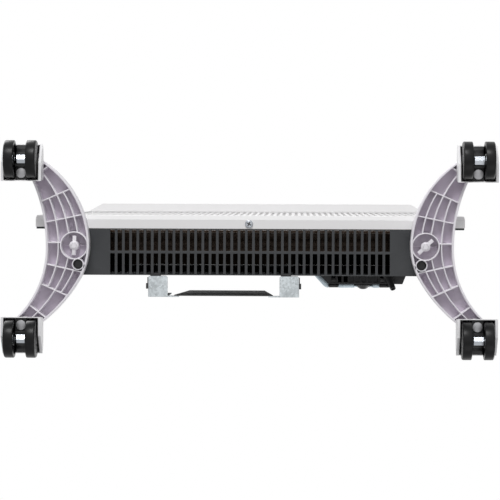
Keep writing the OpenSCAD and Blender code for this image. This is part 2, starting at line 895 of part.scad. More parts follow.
// Small rubber bumpers on the outer edges of the two arms
module bracket_bumpers() {
    outer = screw_span / 2 + arm_w / 2;
    color([0.06, 0.06, 0.06]) translate([arm_mid, 0, 0])
        both_sides() {
            slab([outer, arm_y + arm_corner, bracket_low],
                [outer + bumper_skin, bumper_y, base_z]);
            slab([outer, bumper_y, bracket_low - bumper_skin],
                [outer + bumper_t, bumper_y + bumper_l, base_z + bumper_skin]);
        }
}

// Feet, drawn for the right-hand side and mirrored for the left

// Distance from the pole to a circle, seen at an angle measured from the line to the body
function to_circle(centre, r_at_zero, angle) = let (
    along = centre[0] * cos(angle) + centre[1] * sin(angle),
    r_square = pow(r_at_zero - centre[0], 2) + pow(centre[1], 2)
) along + sqrt(r_square - pow(centre[0], 2) - pow(centre[1], 2) + along * along);

function far_circle(angle) = let (
    along = out_far_c[0] * cos(angle) + out_far_c[1] * sin(angle)
) along + sqrt(pow(out_far_r, 2) - pow(out_far_c[0], 2) - pow(out_far_c[1], 2) + along * along);

function inner_r(angle) = to_circle(angle < 0 ? in_front_c : in_rear_c, in_r, angle);

function outer_r(angle) =
    angle < 0 ? to_circle(out_front_c, out_r, angle)
    : angle < turn_at ? to_circle(out_rear_c, out_r, angle)
    : far_circle(angle);

// A point at a radius and an angle from the pole of the right foot
function from_pole(r, angle) = [pole_x - r * cos(angle), pole_y + r * sin(angle)];

// A point at a share of the width between the two rim walls
function between_r(share, angle) = let (
    low = inner_r(angle) + foot_wall,
    high = outer_r(angle) - foot_wall
) low + share * (high - low);

module foot_outline(inset) {
    polygon(concat(
        [for (a = [front_end:foot_step:rear_end]) from_pole(outer_r(a) - inset, a)],
        [for (a = [rear_end:-foot_step:front_end]) from_pole(inner_r(a) + inset, a)]
    ));
    for (side = [-1, 1])
        translate([stem_x, side * (stem_y + pad_shift)]) circle(r = pad_r - inset);
}

// Rib that runs along the foot at one share of its width
module long_rib(share, from, to) {
    polygon(concat(
        [for (a = [from:(to - from) / rib_steps:to])
            from_pole(between_r(share, a) - rib_t / 2, a)],
        [for (a = [to:(from - to) / rib_steps:from])
            from_pole(between_r(share, a) + rib_t / 2, a)]
    ));
}

// Rib that runs straight across the foot from one rim wall to the other
module cross_rib(angle) {
    translate([pole_x, pole_y]) rotate(180 - angle)
        translate([in_r - foot_wall, -rib_t / 2]) square([out_r - in_r + foot_wall, rib_t]);
}

module ring_outline(d) {
    translate([ring_x, ring_y]) circle(d = d);
}

module foot_ribs() {
    intersection() {
        foot_outline(foot_wall / 2);
        difference() {
            union() {
                for (a = rib_angles) cross_rib(a);
                long_rib(long_rib_shares[0], rib_angles[1], rib_angles[4]);
                long_rib(long_rib_shares[1], front_end, rear_end);
                long_rib(long_rib_shares[2], rib_angles[1], rib_angles[4]);
                difference() {
                    cross_rib(0);
                    translate([0, -pole_x]) square([ring_x, 2 * pole_x]);
                }
            }
            ring_outline(ring_d - rib_t);
            for (side = [-1, 1]) translate([stem_x, side * stem_y]) circle(d = stem_d);
        }
    }
}

module foot() {
    floor_z = base_z - foot_floor;
    color("ghostwhite") difference() {
        union() {
            translate([0, 0, rim_z]) linear_extrude(foot_h) difference() {
                foot_outline(0);
                foot_outline(foot_wall);
            }
            translate([0, 0, floor_z]) linear_extrude(foot_floor) foot_outline(foot_wall / 2);
            translate([0, 0, rim_z + rib_recess]) linear_extrude(foot_h - rib_recess - cut)
                foot_ribs();
            translate([0, 0, rim_z + rib_recess / 2])
                linear_extrude(foot_h - rib_recess / 2 - cut) intersection() {
                    foot_outline(foot_wall / 2);
                    difference() {
                        ring_outline(ring_d);
                        ring_outline(ring_d - 2 * rib_t);
                    }
                }
            translate([0, 0, rim_z + spoke_low]) linear_extrude(foot_h - spoke_low - cut)
                intersection() {
                    foot_outline(foot_wall / 2);
                    translate([ring_x - ring_d / 2, ring_y - rib_t / 2])
                        square([ring_d, rib_t]);
                }
            rod_z(ring_x, front_mark_y, floor_z - mark_t, base_z - cut, front_mark_d);
            rod_z(ring_x, rear_mark_y, floor_z - mark_t, base_z - cut, rear_mark_d);
            rod_z(peg_x, peg_y, rim_z, base_z - cut, peg_d + 2 * gap + 2 * peg_wall);
            for (side = [-1, 1])
                rod_z(stem_x, side * stem_y, rim_z, base_z - cut, stem_d + 2 * socket_wall);
        }
        rod_z(peg_x, peg_y, rim_z - cut, base_z + cut, peg_d + 2 * gap);
        rod_z(ring_x, ring_y, rim_z - cut, base_z + cut, wing_d + 2 * gap);
        rod_z(ring_x, ring_y, rim_z - cut, floor_z, hub_d + 2 * gap);
        rod_z(ring_x, ring_mark_y, floor_z - cut, floor_z + mark_t, ring_mark_d);
        for (side = [-1, 1]) rod_z(stem_x, side * stem_y, rim_z - cut, floor_z, stem_d);
    }
}

// Pegs of the casing that drop through the feet
module foot_pegs() {
    color([0.06, 0.06, 0.06]) both_sides()
        rod_z(peg_x, peg_y, rim_z + peg_low, base_z, peg_d);
}

module foot_nuts() {
    color("silver") both_sides() difference() {
        translate([ring_x - nut_w / 2, ring_y - nut_w / 2, inner_z]) cube([nut_w, nut_w, nut_t]);
        rod_z(ring_x, ring_y, inner_z - cut, inner_z + nut_t + cut, wing_d);
    }
}

// Screw with a round hub and two wings, turned by an angle
module wing_screw(x, turn) {
    seat_z = base_z - foot_floor;
    color("white") {
        rod_z(x, ring_y, seat_z - cut, inner_z + nut_t + cut, wing_d);
        rod_z(x, ring_y, rim_z + hub_dome, seat_z, hub_d);
        translate([x, ring_y, rim_z]) cylinder(h = hub_dome, d1 = wing_d, d2 = hub_d);
        translate([x, ring_y, rim_z + hub_dome]) rotate([0, 0, turn])
            slab([-wing_l / 2, -wing_t / 2, 0], [wing_l / 2, wing_t / 2, wing_h]);
    }
}

// Pan-head screws: one under the panel, four in the rear cover
module casing_screws() {
    color("silver") {
        rod_z(panel_screw_x, panel_screw_y, base_z - screw_head_t, base_z, screw_head_d);
        rod_z(panel_screw_x, panel_screw_y, base_z - cut, base_z + screw_shank_l,
            screw_shank_d);
        both_sides() for (z = rear_screw_zs) {
            rod_y(rear_screw_x, body_rear_y, body_rear_y + screw_head_t, z, screw_head_d);
            rod_y(rear_screw_x, body_rear_y - screw_shank_l, body_rear_y + cut, z,
                screw_shank_d);
        }
    }
}

// Castors, drawn about the stem with the axle towards -Y, then placed at a corner

module castor_at(side, end) {
    translate([side * stem_x, end * stem_y, 0]) {
        if (end < 0) children();
        if (end > 0) mirror([0, 1, 0]) children();
    }
}

// Side outline of the hood, inset by a wall, in depth and height
module hood_side(inset) {
    intersection() {
        union() {
            translate([-trail, wheel_r]) circle(r = hood_r - inset);
            translate([-trail, 0])
                square([trail + hood_back - hood_corner, hood_top - inset]);
            translate([-trail, 0])
                square([trail + hood_back - inset, hood_top - hood_corner]);
            translate([hood_back - hood_corner, hood_top - hood_corner])
                circle(r = hood_corner - inset);
        }
        polygon([
            [hood_back + cut, wheel_r - hood_skirt],
            [hood_skirt_run - trail, wheel_r - hood_skirt],
            [-trail - hood_nose, wheel_r + hood_nose],
            [-trail - hood_nose, hood_top + cut],
            [hood_back + cut, hood_top + cut]
        ]);
    }
}

module castor_hood() {
    color("white") difference() {
        across(-hood_half, hood_half) hood_side(0);
        across(-hood_in, hood_in) {
            hood_side(hood_t);
            translate([0, -cut]) hood_side(hood_t);
        }
        rod_z(0, 0, boss_z, hood_top + cut, boss_d + 2 * hood_slack);
    }
}

// Black frame: centre web, stem boss, saddle of the axle and the liner under the hood
module castor_frame() {
    skin = hood_t + hood_slack;
    color([0.1, 0.1, 0.11]) difference() {
        union() {
            across(-web_half, web_half) intersection() {
                hood_side(skin);
                union() {
                    translate([-boss_d / 2, wheel_r + web_low])
                        square([hood_back + boss_d / 2, hood_top]);
                    translate([-trail - saddle_r, wheel_r])
                        square([trail + saddle_r - boss_d / 2, hood_top]);
                    translate([-trail - hood_r, wheel_r + web_front])
                        square([trail + hood_r, hood_top]);
                    intersection() {
                        translate([-trail, wheel_r]) circle(r = saddle_r);
                        translate([-trail - saddle_r, wheel_r - saddle_low])
                            square([2 * saddle_r, hood_top]);
                    }
                }
            }
            across(-liner_out, liner_out) intersection() {
                difference() {
                    hood_side(skin);
                    hood_side(skin + roof_t);
                }
                translate([-trail - hood_r, wheel_r])
                    square([trail + hood_r + liner_end, hood_r]);
            }
            for (x = [-liner_out, liner_in]) across(x, x + liner_t) hood_side(skin);
            rod_z(0, 0, boss_z, hood_top, boss_d);
        }
        rod_z(0, 0, wheel_r, hood_top + cut, spigot_d + 2 * fit);
        rod_x(-web_half - cut, web_half + cut, -trail, wheel_r, sleeve_d + 2 * fit);
    }
}

// Stem fixed in the foot: shank, collar, spigot and riveted head
module castor_stem() {
    color("silver") {
        rod_z(0, 0, rim_z - cut, rim_z + stem_in, stem_d);
        rod_z(0, 0, hood_top + gap, rim_z, collar_d);
        rod_z(0, 0, head_z, rim_z, spigot_d);
        rod_z(0, 0, head_z, head_z + head_t, head_d);
    }
}

// Six-sided sleeve with a cone at one end and a pin at both
module castor_axle() {
    color("silver") {
        rod_x(-pin_end, pin_end, -trail, wheel_r, axle_d);
        translate([0, -trail, wheel_r]) rotate([0, 90, 0]) {
            translate([0, 0, sleeve_cone - web_half])
                cylinder(h = 2 * web_half - sleeve_cone, d = sleeve_d, $fn = 6);
            translate([0, 0, -web_half])
                cylinder(h = sleeve_cone, d1 = axle_d, d2 = sleeve_d * cos(30));
        }
    }
}

// Wheel outline: radius and distance from the middle of the castor
function tread_points() = concat(
    [for (a = [90:-15:0]) [
        wheel_r - wheel_ease + wheel_ease * cos(a), wheel_in + wheel_ease * (1 - sin(a))
    ]],
    [for (a = [0:15:90]) [
        wheel_r - wheel_round + wheel_round * cos(a),
        wheel_out - wheel_round + wheel_round * sin(a)
    ]]
);

module castor_wheel(side) {
    color([0.13, 0.13, 0.14]) translate([0, -trail, wheel_r]) rotate([0, side * 90, 0])
        difference() {
            rotate_extrude() polygon(concat(
                tread_points(),
                [
                    [hub_cap_r, wheel_out], [hub_cap_r, wheel_out + hub_bulge],
                    [0, wheel_out + hub_bulge], [0, wheel_in],
                    [hub_r, wheel_in], [hub_r, wheel_out - wheel_web],
                    [wheel_r - rim_t, wheel_out - wheel_web], [wheel_r - rim_t, wheel_in]
                ]
            ));
            cylinder(h = wheel_out - hub_floor, d = axle_d + 2 * fit);
        }
}

front_panel();
front_grille();
rear_cover();
bottom_grille();
top_grille();
mirror([1, 0, 0]) inner_frame();  // inner_frame_left
inner_frame();  // inner_frame_right
infrared_panel();
infrared_frame();
heat_shield();
convector_element();
element_brackets();
thermal_cutout();
tilt_switch();
terminal_block();
wiring_loom();
control_housing();
control_bezel();
thermostat_body();
thermostat_shaft();
thermostat_knob();
switch_bodies();
rocker(rocker_xs[0]);  // rocker_left
rocker(rocker_xs[1]);  // rocker_right
cord_gland();
bracket_arm(arm_xs[0], 1);  // bracket_arm_left
bracket_arm(arm_xs[1], -1);  // bracket_arm_right
bracket_plate();
bracket_bumpers();
mirror([1, 0, 0]) foot();  // foot_left
foot();  // foot_right
foot_pegs();
foot_nuts();
wing_screw(-ring_x, wing_turn_left);  // wing_screw_left
wing_screw(ring_x, wing_turn_right);  // wing_screw_right
casing_screws();
castor_at(-1, -1) castor_stem();  // stem_fl
castor_at(1, -1) castor_stem();  // stem_fr
castor_at(-1, 1) castor_stem();  // stem_rl
castor_at(1, 1) castor_stem();  // stem_rr
castor_at(-1, -1) castor_frame();  // castor_frame_fl
castor_at(1, -1) castor_frame();  // castor_frame_fr
castor_at(-1, 1) castor_frame();  // castor_frame_rl
castor_at(1, 1) castor_frame();  // castor_frame_rr
castor_at(-1, -1) castor_hood();  // castor_hood_fl
castor_at(1, -1) castor_hood();  // castor_hood_fr
castor_at(-1, 1) castor_hood();  // castor_hood_rl
castor_at(1, 1) castor_hood();  // castor_hood_rr
castor_at(-1, -1) castor_axle();  // axle_fl
castor_at(1, -1) castor_axle();  // axle_fr
castor_at(-1, 1) castor_axle();  // axle_rl
castor_at(1, 1) castor_axle();  // axle_rr
castor_at(-1, -1) castor_wheel(-1);  // wheel_fl_left
castor_at(-1, -1) castor_wheel(1);  // wheel_fl_right
castor_at(1, -1) castor_wheel(-1);  // wheel_fr_left
castor_at(1, -1) castor_wheel(1);  // wheel_fr_right
castor_at(-1, 1) castor_wheel(-1);  // wheel_rl_left
castor_at(-1, 1) castor_wheel(1);  // wheel_rl_right
castor_at(1, 1) castor_wheel(-1);  // wheel_rr_left
castor_at(1, 1) castor_wheel(1);  // wheel_rr_right
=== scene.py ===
"""Dresses the slim panel heater: rounded edges, moulded and painted finishes, and the stage."""

import json
import math

import bpy
from bpy.props import FloatProperty, FloatVectorProperty, IntProperty, PointerProperty
from mathutils import Matrix, Vector


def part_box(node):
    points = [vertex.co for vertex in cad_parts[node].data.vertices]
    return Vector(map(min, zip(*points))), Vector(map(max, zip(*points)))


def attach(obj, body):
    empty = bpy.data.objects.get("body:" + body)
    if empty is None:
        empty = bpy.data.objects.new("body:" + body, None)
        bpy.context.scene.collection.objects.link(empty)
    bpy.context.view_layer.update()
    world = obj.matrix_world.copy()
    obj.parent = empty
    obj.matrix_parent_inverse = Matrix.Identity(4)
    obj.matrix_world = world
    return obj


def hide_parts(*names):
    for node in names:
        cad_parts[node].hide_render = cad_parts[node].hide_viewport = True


bl_info = {
    "name": "Panel heater dresser",
    "version": (1, 0, 0),
    "blender": (4, 5, 0),
    "location": "View3D > Sidebar > Heater",
    "description": "Rounds, paints and lights a slim panel heater on castors",
    "category": "Object",
}

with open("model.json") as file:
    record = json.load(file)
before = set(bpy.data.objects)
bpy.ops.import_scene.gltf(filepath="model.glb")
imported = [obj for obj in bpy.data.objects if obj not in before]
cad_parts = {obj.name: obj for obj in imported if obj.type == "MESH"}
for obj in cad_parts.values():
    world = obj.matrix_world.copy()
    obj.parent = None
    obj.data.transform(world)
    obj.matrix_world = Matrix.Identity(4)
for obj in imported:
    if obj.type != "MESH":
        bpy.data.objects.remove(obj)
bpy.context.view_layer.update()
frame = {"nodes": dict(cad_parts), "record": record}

CORNERS = ("fl", "fr", "rl", "rr")
SIDES = ("left", "right")
MILLIMETRE = 0.001
ABOVE = 0.01  # how far behind a piece a ray starts that is cast onto its rear
DUST = (0.42, 0.40, 0.37)
SCUFF = (0.16, 0.155, 0.15)
# Painted shade on the front of a bracket arm, where it hooks into the casing
HOOK_SHADE = (0.008, 0.008, 0.009)


def colour(name, description, default):
    return FloatVectorProperty(
        name=name, description=description, default=default, size=3,
        min=0.0, max=1.0, subtype="COLOR",
    )


def length(name, description, default):
    return FloatProperty(
        name=name, description=description, default=default, min=0.0,
        subtype="DISTANCE", unit="LENGTH",
    )


class HeaterSizes(bpy.types.PropertyGroup):
    """Edge roundings and the small parts that the frame leaves plain"""

    sheet_edge: length("Sheet edge", "Rounding of cut sheet metal", 0.00022)
    rim_edge: length("Foot edge", "Rounding of the ribs and rims of the feet", 0.0004)
    shell_edge: length("Shell edge", "Rounding of small moulded shells", 0.0005)
    bezel_edge: length("Bezel edge", "Rounding of the silver band", 0.0009)
    grille_pitch: length("Grille pitch", "Distance between slots of the front grille", 0.007)
    grille_slot: length("Grille slot", "Width of one slot of the front grille", 0.0034)
    grille_bar: length("Grille bar", "Height of the bars between two rows of slots", 0.004)
    grille_rows: IntProperty(name="Grille rows", description="Rows of slots", default=14)
    grille_sheet: length("Grille sheet", "Thickness of the front grille", 0.0008)
    ribbon_w: length("Ribbon width", "Width of one heating ribbon on the mica", 0.003)
    ribbon_t: length("Ribbon thickness", "Thickness of one heating ribbon", 0.0002)
    ribbon_pitch: length("Ribbon pitch", "Distance from one heating ribbon to the next", 0.009)
    tick_l: length("Tick length", "Length of a mark round the thermostat knob", 0.0026)
    tick_w: length("Tick width", "Width of a mark round the thermostat knob", 0.0006)
    ink_t: length("Ink thickness", "How far a printed mark stands off its surface", 0.00006)
    louvre_pitch: length("Louvre pitch", "Distance between ribs in the bezel window", 0.006)
    rim_z: length("Rim height", "Height of the lower edge of the feet", 0.052)
    # Length of the painted shade at the front of an arm
    hook_shade_l: length("Hook length", "Length of the blacked hook at the front of an arm", 0.003)
    lens: length("Lens", "Focal length of the camera", 0.1543)
    reach: length("Camera reach", "Distance of the camera below the floor", 2.232)


class HeaterColours(bpy.types.PropertyGroup):
    """Colours of the finishes"""

    white_paint: colour("White paint", "Front panel and grille", (0.79, 0.785, 0.79))
    charcoal: colour("Charcoal paint", "Casing", (0.032, 0.034, 0.037))
    white_plastic: colour("White plastic", "Feet and wing screws", (0.80, 0.775, 0.82))
    hood_plastic: colour("Hood plastic", "Castor hoods", (0.88, 0.875, 0.89))
    black_plastic: colour("Black plastic", "Control box, knob, pegs and castor frames",
                          (0.012, 0.012, 0.013))
    tread: colour("Tread", "Castor wheels", (0.0035, 0.0035, 0.004))
    silver: colour("Silver", "Band of the control box", (0.48, 0.56, 0.61))
    ivory: colour("Ivory plastic", "Electrical pieces inside", (0.72, 0.66, 0.52))
    zinc: colour("Zinc", "Bracket arms", (0.52, 0.56, 0.58))
    # Partly painted shade: the inner steel is darker than bare steel, for the shade inside the casing
    steel: colour("Steel", "Inner channels", (0.20, 0.17, 0.15))
    chrome: colour("Chrome", "Axles and screws", (0.36, 0.38, 0.41))
    satin: colour("Satin steel", "Stems of the castors", (0.30, 0.30, 0.31))
    # Painted shade: the heat shield is a near-black brown for the shade inside the casing, with no
    # specular
    aluminium: colour("Aluminium", "Heat shield, darkened as painted shade", (0.020, 0.014, 0.010))
    # Painted shade, multiplied into the deep floors of the foot pockets
    pocket: colour("Pocket shade colour", "Floors of the pockets under the feet", (0.56, 0.49, 0.575))
    # Partly painted shade: element and mica are darker than their own colours, for the shade inside
    # the casing
    element: colour("Element", "Finned convector element", (0.05, 0.036, 0.028))
    mica: colour("Mica", "Infrared panel", (0.07, 0.040, 0.022))
    ribbon: colour("Ribbon", "Heating ribbons", (0.22, 0.16, 0.11))
    rubber: colour("Rubber", "Gland, bumpers and cross plate", (0.011, 0.011, 0.012))
    ink: colour("Ink", "Printed marks", (0.75, 0.75, 0.75))
    floor: colour("Floor", "Pale floor", (0.86, 0.86, 0.86))


# Nodes of the finishes


def feed(tree, socket, value):
    """Sets an input to a plain value, or links it to an output."""
    if isinstance(value, bpy.types.NodeSocket):
        tree.links.new(value, socket)
    else:
        socket.default_value = value


def add(tree, kind, settings=None, **inputs):
    """Adds a shader node with its settings and inputs."""
    made = tree.nodes.new(kind)
    for key, value in (settings or {}).items():
        setattr(made, key, value)
    for key, value in inputs.items():
        feed(tree, made.inputs[key.replace("_", " ")], value)
    return made


def maths(tree, operation, first, second=0.0):
    made = tree.nodes.new("ShaderNodeMath")
    made.operation = operation
    feed(tree, made.inputs[0], first)
    feed(tree, made.inputs[1], second)
    return made.outputs[0]


def ramp(tree, value, low, high, to_low=0.0, to_high=1.0):
    """Spreads a value between two limits and keeps it inside them."""
    return add(
        tree, "ShaderNodeMapRange", {"clamp": True}, Value=value, From_Min=low,
        From_Max=high, To_Min=to_low, To_Max=to_high,
    ).outputs[0]


def blend_colour(tree, share, first, second, how="MIX"):
    """Blends a linked colour with a plain one."""
    made = tree.nodes.new("ShaderNodeMix")
    made.data_type = "RGBA"
    made.blend_type = how
    feed(tree, made.inputs[0], share)
    feed(tree, made.inputs[6], first)
    feed(tree, made.inputs[7], (*second, 1.0))
    return made.outputs[2]


def shader_tree(owner):
    """The empty node tree of a material or a world"""
    owner.use_nodes = True
    owner.node_tree.nodes.clear()
    return owner.node_tree


def show(tree, shader, kind="ShaderNodeOutputMaterial"):
    tree.links.new(shader.outputs[0], tree.nodes.new(kind).inputs[0])


def times(tree, first, second):
    return maths(tree, "MULTIPLY", first, second)


def plus(tree, first, second):
    return maths(tree, "ADD", first, second)


def centred(tree, value):
    """Moves a value between 0 and 1 to lie round 0."""
    return maths(tree, "SUBTRACT", value, 0.5)


def object_place(tree):
    return add(tree, "ShaderNodeTexCoord").outputs["Object"]


def parts_of(tree, vector):
    return add(tree, "ShaderNodeSeparateXYZ", Vector=vector).outputs


def facing(tree):
    """How far a surface faces up, from -1 to 1."""
    return parts_of(tree, add(tree, "ShaderNodeNewGeometry").outputs["Normal"])[2]


def noise(tree, where, scale, detail):
    return add(tree, "ShaderNodeTexNoise", Vector=where, Scale=scale, Detail=detail).outputs[0]


def shaded(tree, paint, value):
    """Makes a colour lighter or darker."""
    return add(tree, "ShaderNodeHueSaturation", Color=paint, Value=value).outputs[0]


def new_group(name, outputs, inputs):
    """Makes an effect group. An input's kind follows from its default value."""
    tree = bpy.data.node_groups.new(name, "ShaderNodeTree")
    for label, default in inputs.items():
        kind = {4: "Color", 3: "Vector", 0: "Float"}[len(default) if isinstance(default, tuple) else 0]
        socket = tree.interface.new_socket(name=label, in_out="INPUT", socket_type="NodeSocket" + kind)
        socket.default_value = default
    for label in outputs:
        kind = "Color" if label == "Color" else "Float"
        tree.interface.new_socket(name=label, in_out="OUTPUT", socket_type="NodeSocket" + kind)
    return tree, tree.nodes.new("NodeGroupInput").outputs, tree.nodes.new("NodeGroupOutput").inputs


def new_skin(name, roughness, **inputs):
    """A group that takes a colour and a roughness, and gives them with a height."""
    return new_group(name, ("Color", "Roughness", "Height"),
                     {"Color": (0.5, 0.5, 0.5, 1.0), "Roughness": roughness, **inputs})


def new_mask(name, **inputs):
    return new_group(name, ("Mask",), inputs)


def give(tree, out, **values):
    """Links values to a group's outputs."""
    for name, value in values.items():
        tree.links.new(value, out[name])
    return tree


def moulded_grain():
    """Fine moulded skin: a speckled height, a gentle mottle of the colour and of the gloss."""
    tree, given, out = new_skin("Moulded grain", 0.4, Grain=1800.0, Mottle=0.06)
    where = object_place(tree)
    cloud = add(tree, "ShaderNodeTexNoise", Vector=where, Scale=28.0, Detail=4.0, Roughness=0.6)
    shade = times(tree, centred(tree, cloud.outputs[0]), given["Mottle"])
    lighter = plus(tree, 1.0, times(tree, shade, 4.0))
    return give(tree, out, Color=shaded(tree, given["Color"], lighter),
                Roughness=plus(tree, given["Roughness"], times(tree, shade, 3.0)),
                Height=noise(tree, where, given["Grain"], 2.0))


def powder_skin():
    """Powder coat: an orange-peel height with fine flecks in the colour."""
    tree, given, out = new_skin("Powder skin", 0.4, Peel=420.0, Flecks=0.1)
    where = object_place(tree)
    fleck = add(tree, "ShaderNodeTexVoronoi", {"feature": "F1"}, Vector=where, Scale=2600.0)
    light = times(tree, ramp(tree, fleck.outputs["Color"], 0.75, 1.0), given["Flecks"])
    drift = times(tree, centred(tree, noise(tree, where, 9.0, 3.0)), given["Flecks"])
    lighter = plus(tree, 1.0, plus(tree, light, drift))
    return give(tree, out, Color=shaded(tree, given["Color"], lighter),
                Roughness=plus(tree, given["Roughness"], times(tree, drift, 0.6)),
                Height=noise(tree, where, given["Peel"], 3.0))


def drawn_metal():
    """Drawn or rolled metal: long fine streaks, stretched by the three numbers of Stretch."""
    tree, given, out = new_skin("Drawn metal", 0.3, Stretch=(60.0, 900.0, 900.0), Streak=0.2)
    where = object_place(tree)
    drawn = add(tree, "ShaderNodeVectorMath", {"operation": "MULTIPLY"})
    feed(tree, drawn.inputs[0], where)
    feed(tree, drawn.inputs[1], given["Stretch"])
    streak = noise(tree, drawn.outputs[0], 1.0, 4.0)
    cloud = noise(tree, where, 40.0, 3.0)
    change = plus(tree, times(tree, centred(tree, streak), given["Streak"]),
                  times(tree, centred(tree, cloud), given["Streak"]))
    return give(tree, out, Color=shaded(tree, given["Color"], plus(tree, 1.0, change)),
                Roughness=plus(tree, given["Roughness"], times(tree, change, 0.5)), Height=streak)


def zinc_spangle():
    """Hot-dip zinc: cells of different greys with a soft grain inside each."""
    tree, given, out = new_skin("Zinc spangle", 0.4, Cells=520.0, Contrast=0.3)
    where = object_place(tree)
    warp = add(tree, "ShaderNodeTexNoise", Vector=where, Scale=160.0, Detail=2.0)
    moved = add(tree, "ShaderNodeVectorMath", {"operation": "MULTIPLY_ADD"})
    for socket, value in zip(moved.inputs, (warp.outputs["Color"], (0.003, 0.003, 0.003), where)):
        feed(tree, socket, value)
    cells = add(tree, "ShaderNodeTexVoronoi", Vector=moved.outputs[0], Scale=given["Cells"])
    grain = noise(tree, where, 2400.0, 3.0)
    mixed = plus(tree, times(tree, cells.outputs["Color"], 0.7), times(tree, grain, 0.3))
    change = times(tree, centred(tree, mixed), given["Contrast"])
    rough = maths(tree, "SUBTRACT", given["Roughness"], times(tree, change, 0.4))
    return give(tree, out, Color=shaded(tree, given["Color"], plus(tree, 1.0, change)),
                Roughness=rough, Height=grain)


def settled_dust():
    """A mask of faint dust and finger smudges, thickest where a surface faces up."""
    tree, given, out = new_mask("Settled dust", Amount=0.2, Patch=22.0)
    where = object_place(tree)
    patches = ramp(tree, noise(tree, where, given["Patch"], 5.0), 0.42, 0.72)
    specks = ramp(tree, noise(tree, where, 1400.0, 2.0), 0.35, 0.7)
    lies = ramp(tree, facing(tree), -0.2, 1.0, 0.25, 1.0)
    mask = times(tree, times(tree, patches, specks), lies)
    return give(tree, out, Mask=times(tree, mask, given["Amount"]))


def rubbed_edge():
    """A mask of rubbed edges, from the edge attribute of a rounded piece, broken up by noise."""
    tree, given, out = new_mask("Rubbed edge", Amount=0.5, Breaks=260.0)
    edge = add(tree, "ShaderNodeAttribute", {"attribute_name": "edge"})
    breaks = ramp(tree, noise(tree, object_place(tree), given["Breaks"], 4.0), 0.4, 0.65)
    mask = times(tree, edge.outputs["Fac"], breaks)
    return give(tree, out, Mask=times(tree, mask, given["Amount"]))


def roller_scuffs():
    """A mask of fine scuffs round a wheel's tread, along its rolling direction."""
    tree, given, out = new_mask("Roller scuffs", Amount=0.4, Bands=1500.0)
    where = object_place(tree)
    across = times(tree, parts_of(tree, where)[0], given["Bands"])
    bands = add(tree, "ShaderNodeTexNoise", {"noise_dimensions": "1D"}, W=across, Scale=1.0,
                Detail=2.0)
    mask = times(tree, ramp(tree, bands.outputs[0], 0.4, 0.7),
                 ramp(tree, noise(tree, where, 240.0, 5.0), 0.4, 0.7))
    return give(tree, out, Mask=times(tree, mask, given["Amount"]))


def painted_pocket_shade():
    """A mask of painted shade: faces that look down from deep inside a pocket, above the rim's height.
    """
    tree, given, out = new_mask("Painted pocket shade", Rim=0.05, Depth=0.004, Amount=0.9)
    where = object_place(tree)
    above_rim = maths(tree, "SUBTRACT", parts_of(tree, where)[2], given["Rim"])
    deep = ramp(tree, maths(tree, "DIVIDE", above_rim, given["Depth"]), 0.0, 1.0)
    down = ramp(tree, facing(tree), -0.2, -0.8)
    patches = ramp(tree, noise(tree, where, 35.0, 3.0), 0.3, 0.7, 0.75, 1.0)
    mask = times(tree, times(tree, deep, down), patches)
    return give(tree, out, Mask=times(tree, mask, given["Amount"]))


def painted_hook_shade():
    """A mask of painted shade on what lies in front of a depth, where the arms hook into the casing.
    """
    tree, given, out = new_mask("Painted hook shade", Limit=0.028)
    ahead = maths(tree, "LESS_THAN", parts_of(tree, object_place(tree))[1], given["Limit"])
    return give(tree, out, Mask=ahead)


EFFECTS = {
    "Moulded grain": moulded_grain, "Powder skin": powder_skin, "Drawn metal": drawn_metal,
    "Zinc spangle": zinc_spangle, "Settled dust": settled_dust, "Rubbed edge": rubbed_edge,
    "Roller scuffs": roller_scuffs, "Painted pocket shade": painted_pocket_shade, "Painted hook shade": painted_hook_shade,
}


def effect(tree, name, **inputs):
    group = bpy.data.node_groups.get(name) or EFFECTS[name]()
    return add(tree, "ShaderNodeGroup", {"node_tree": group}, **inputs).outputs


def finish_of(name, paint, skin, skin_values, bump, shader, dust=0.0, rubbed=None, scuffs=0.0,
              pocket_shaded=None, hook_shaded=False):
    """Builds one finish: a skin effect with dust, rubbed edges, scuffs, painted pocket shade or
    painted hook shade over it.
    """
    made = bpy.data.materials.new(name)
    tree = shader_tree(made)
    dust_mattens, rubbing_shines, scuffs_matten = 0.5, 0.15, 0.3
    surface = effect(tree, skin, Color=(*paint, 1.0), **skin_values)
    tone, rough = surface["Color"], surface["Roughness"]
    if dust:
        mask = effect(tree, "Settled dust", Amount=dust)["Mask"]
        tone = blend_colour(tree, mask, tone, DUST)
        rough = plus(tree, rough, times(tree, mask, dust_mattens))
    if rubbed:
        amount, bare = rubbed
        mask = effect(tree, "Rubbed edge", Amount=amount)["Mask"]
        tone = blend_colour(tree, mask, tone, bare)
        rough = maths(tree, "SUBTRACT", rough, times(tree, mask, rubbing_shines))
    if scuffs:
        mask = effect(tree, "Roller scuffs", Amount=scuffs)["Mask"]
        tone = blend_colour(tree, mask, tone, SCUFF)
        rough = plus(tree, rough, times(tree, mask, scuffs_matten))
    sizes = bpy.context.scene.heater_sizes
    # Painted shade that darkens the floors deep in the foot pockets
    if pocket_shaded:
        mask = effect(tree, "Painted pocket shade", Rim=sizes.rim_z)["Mask"]
        tone = blend_colour(tree, mask, tone, tuple(pocket_shaded), "MULTIPLY")
    # Painted shade on the arms where they hook into the casing
    if hook_shaded:
        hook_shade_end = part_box("bracket_arm_left")[0].y + sizes.hook_shade_l
        mask = effect(tree, "Painted hook shade", Limit=hook_shade_end)["Mask"]
        tone = blend_colour(tree, mask, tone, HOOK_SHADE)
    relief = add(tree, "ShaderNodeBump", Strength=bump[0], Distance=bump[1], Height=surface["Height"])
    gloss = add(tree, "ShaderNodeBsdfPrincipled", Base_Color=tone, Roughness=rough,
                Normal=relief.outputs[0], **shader)
    show(tree, gloss)
    return made


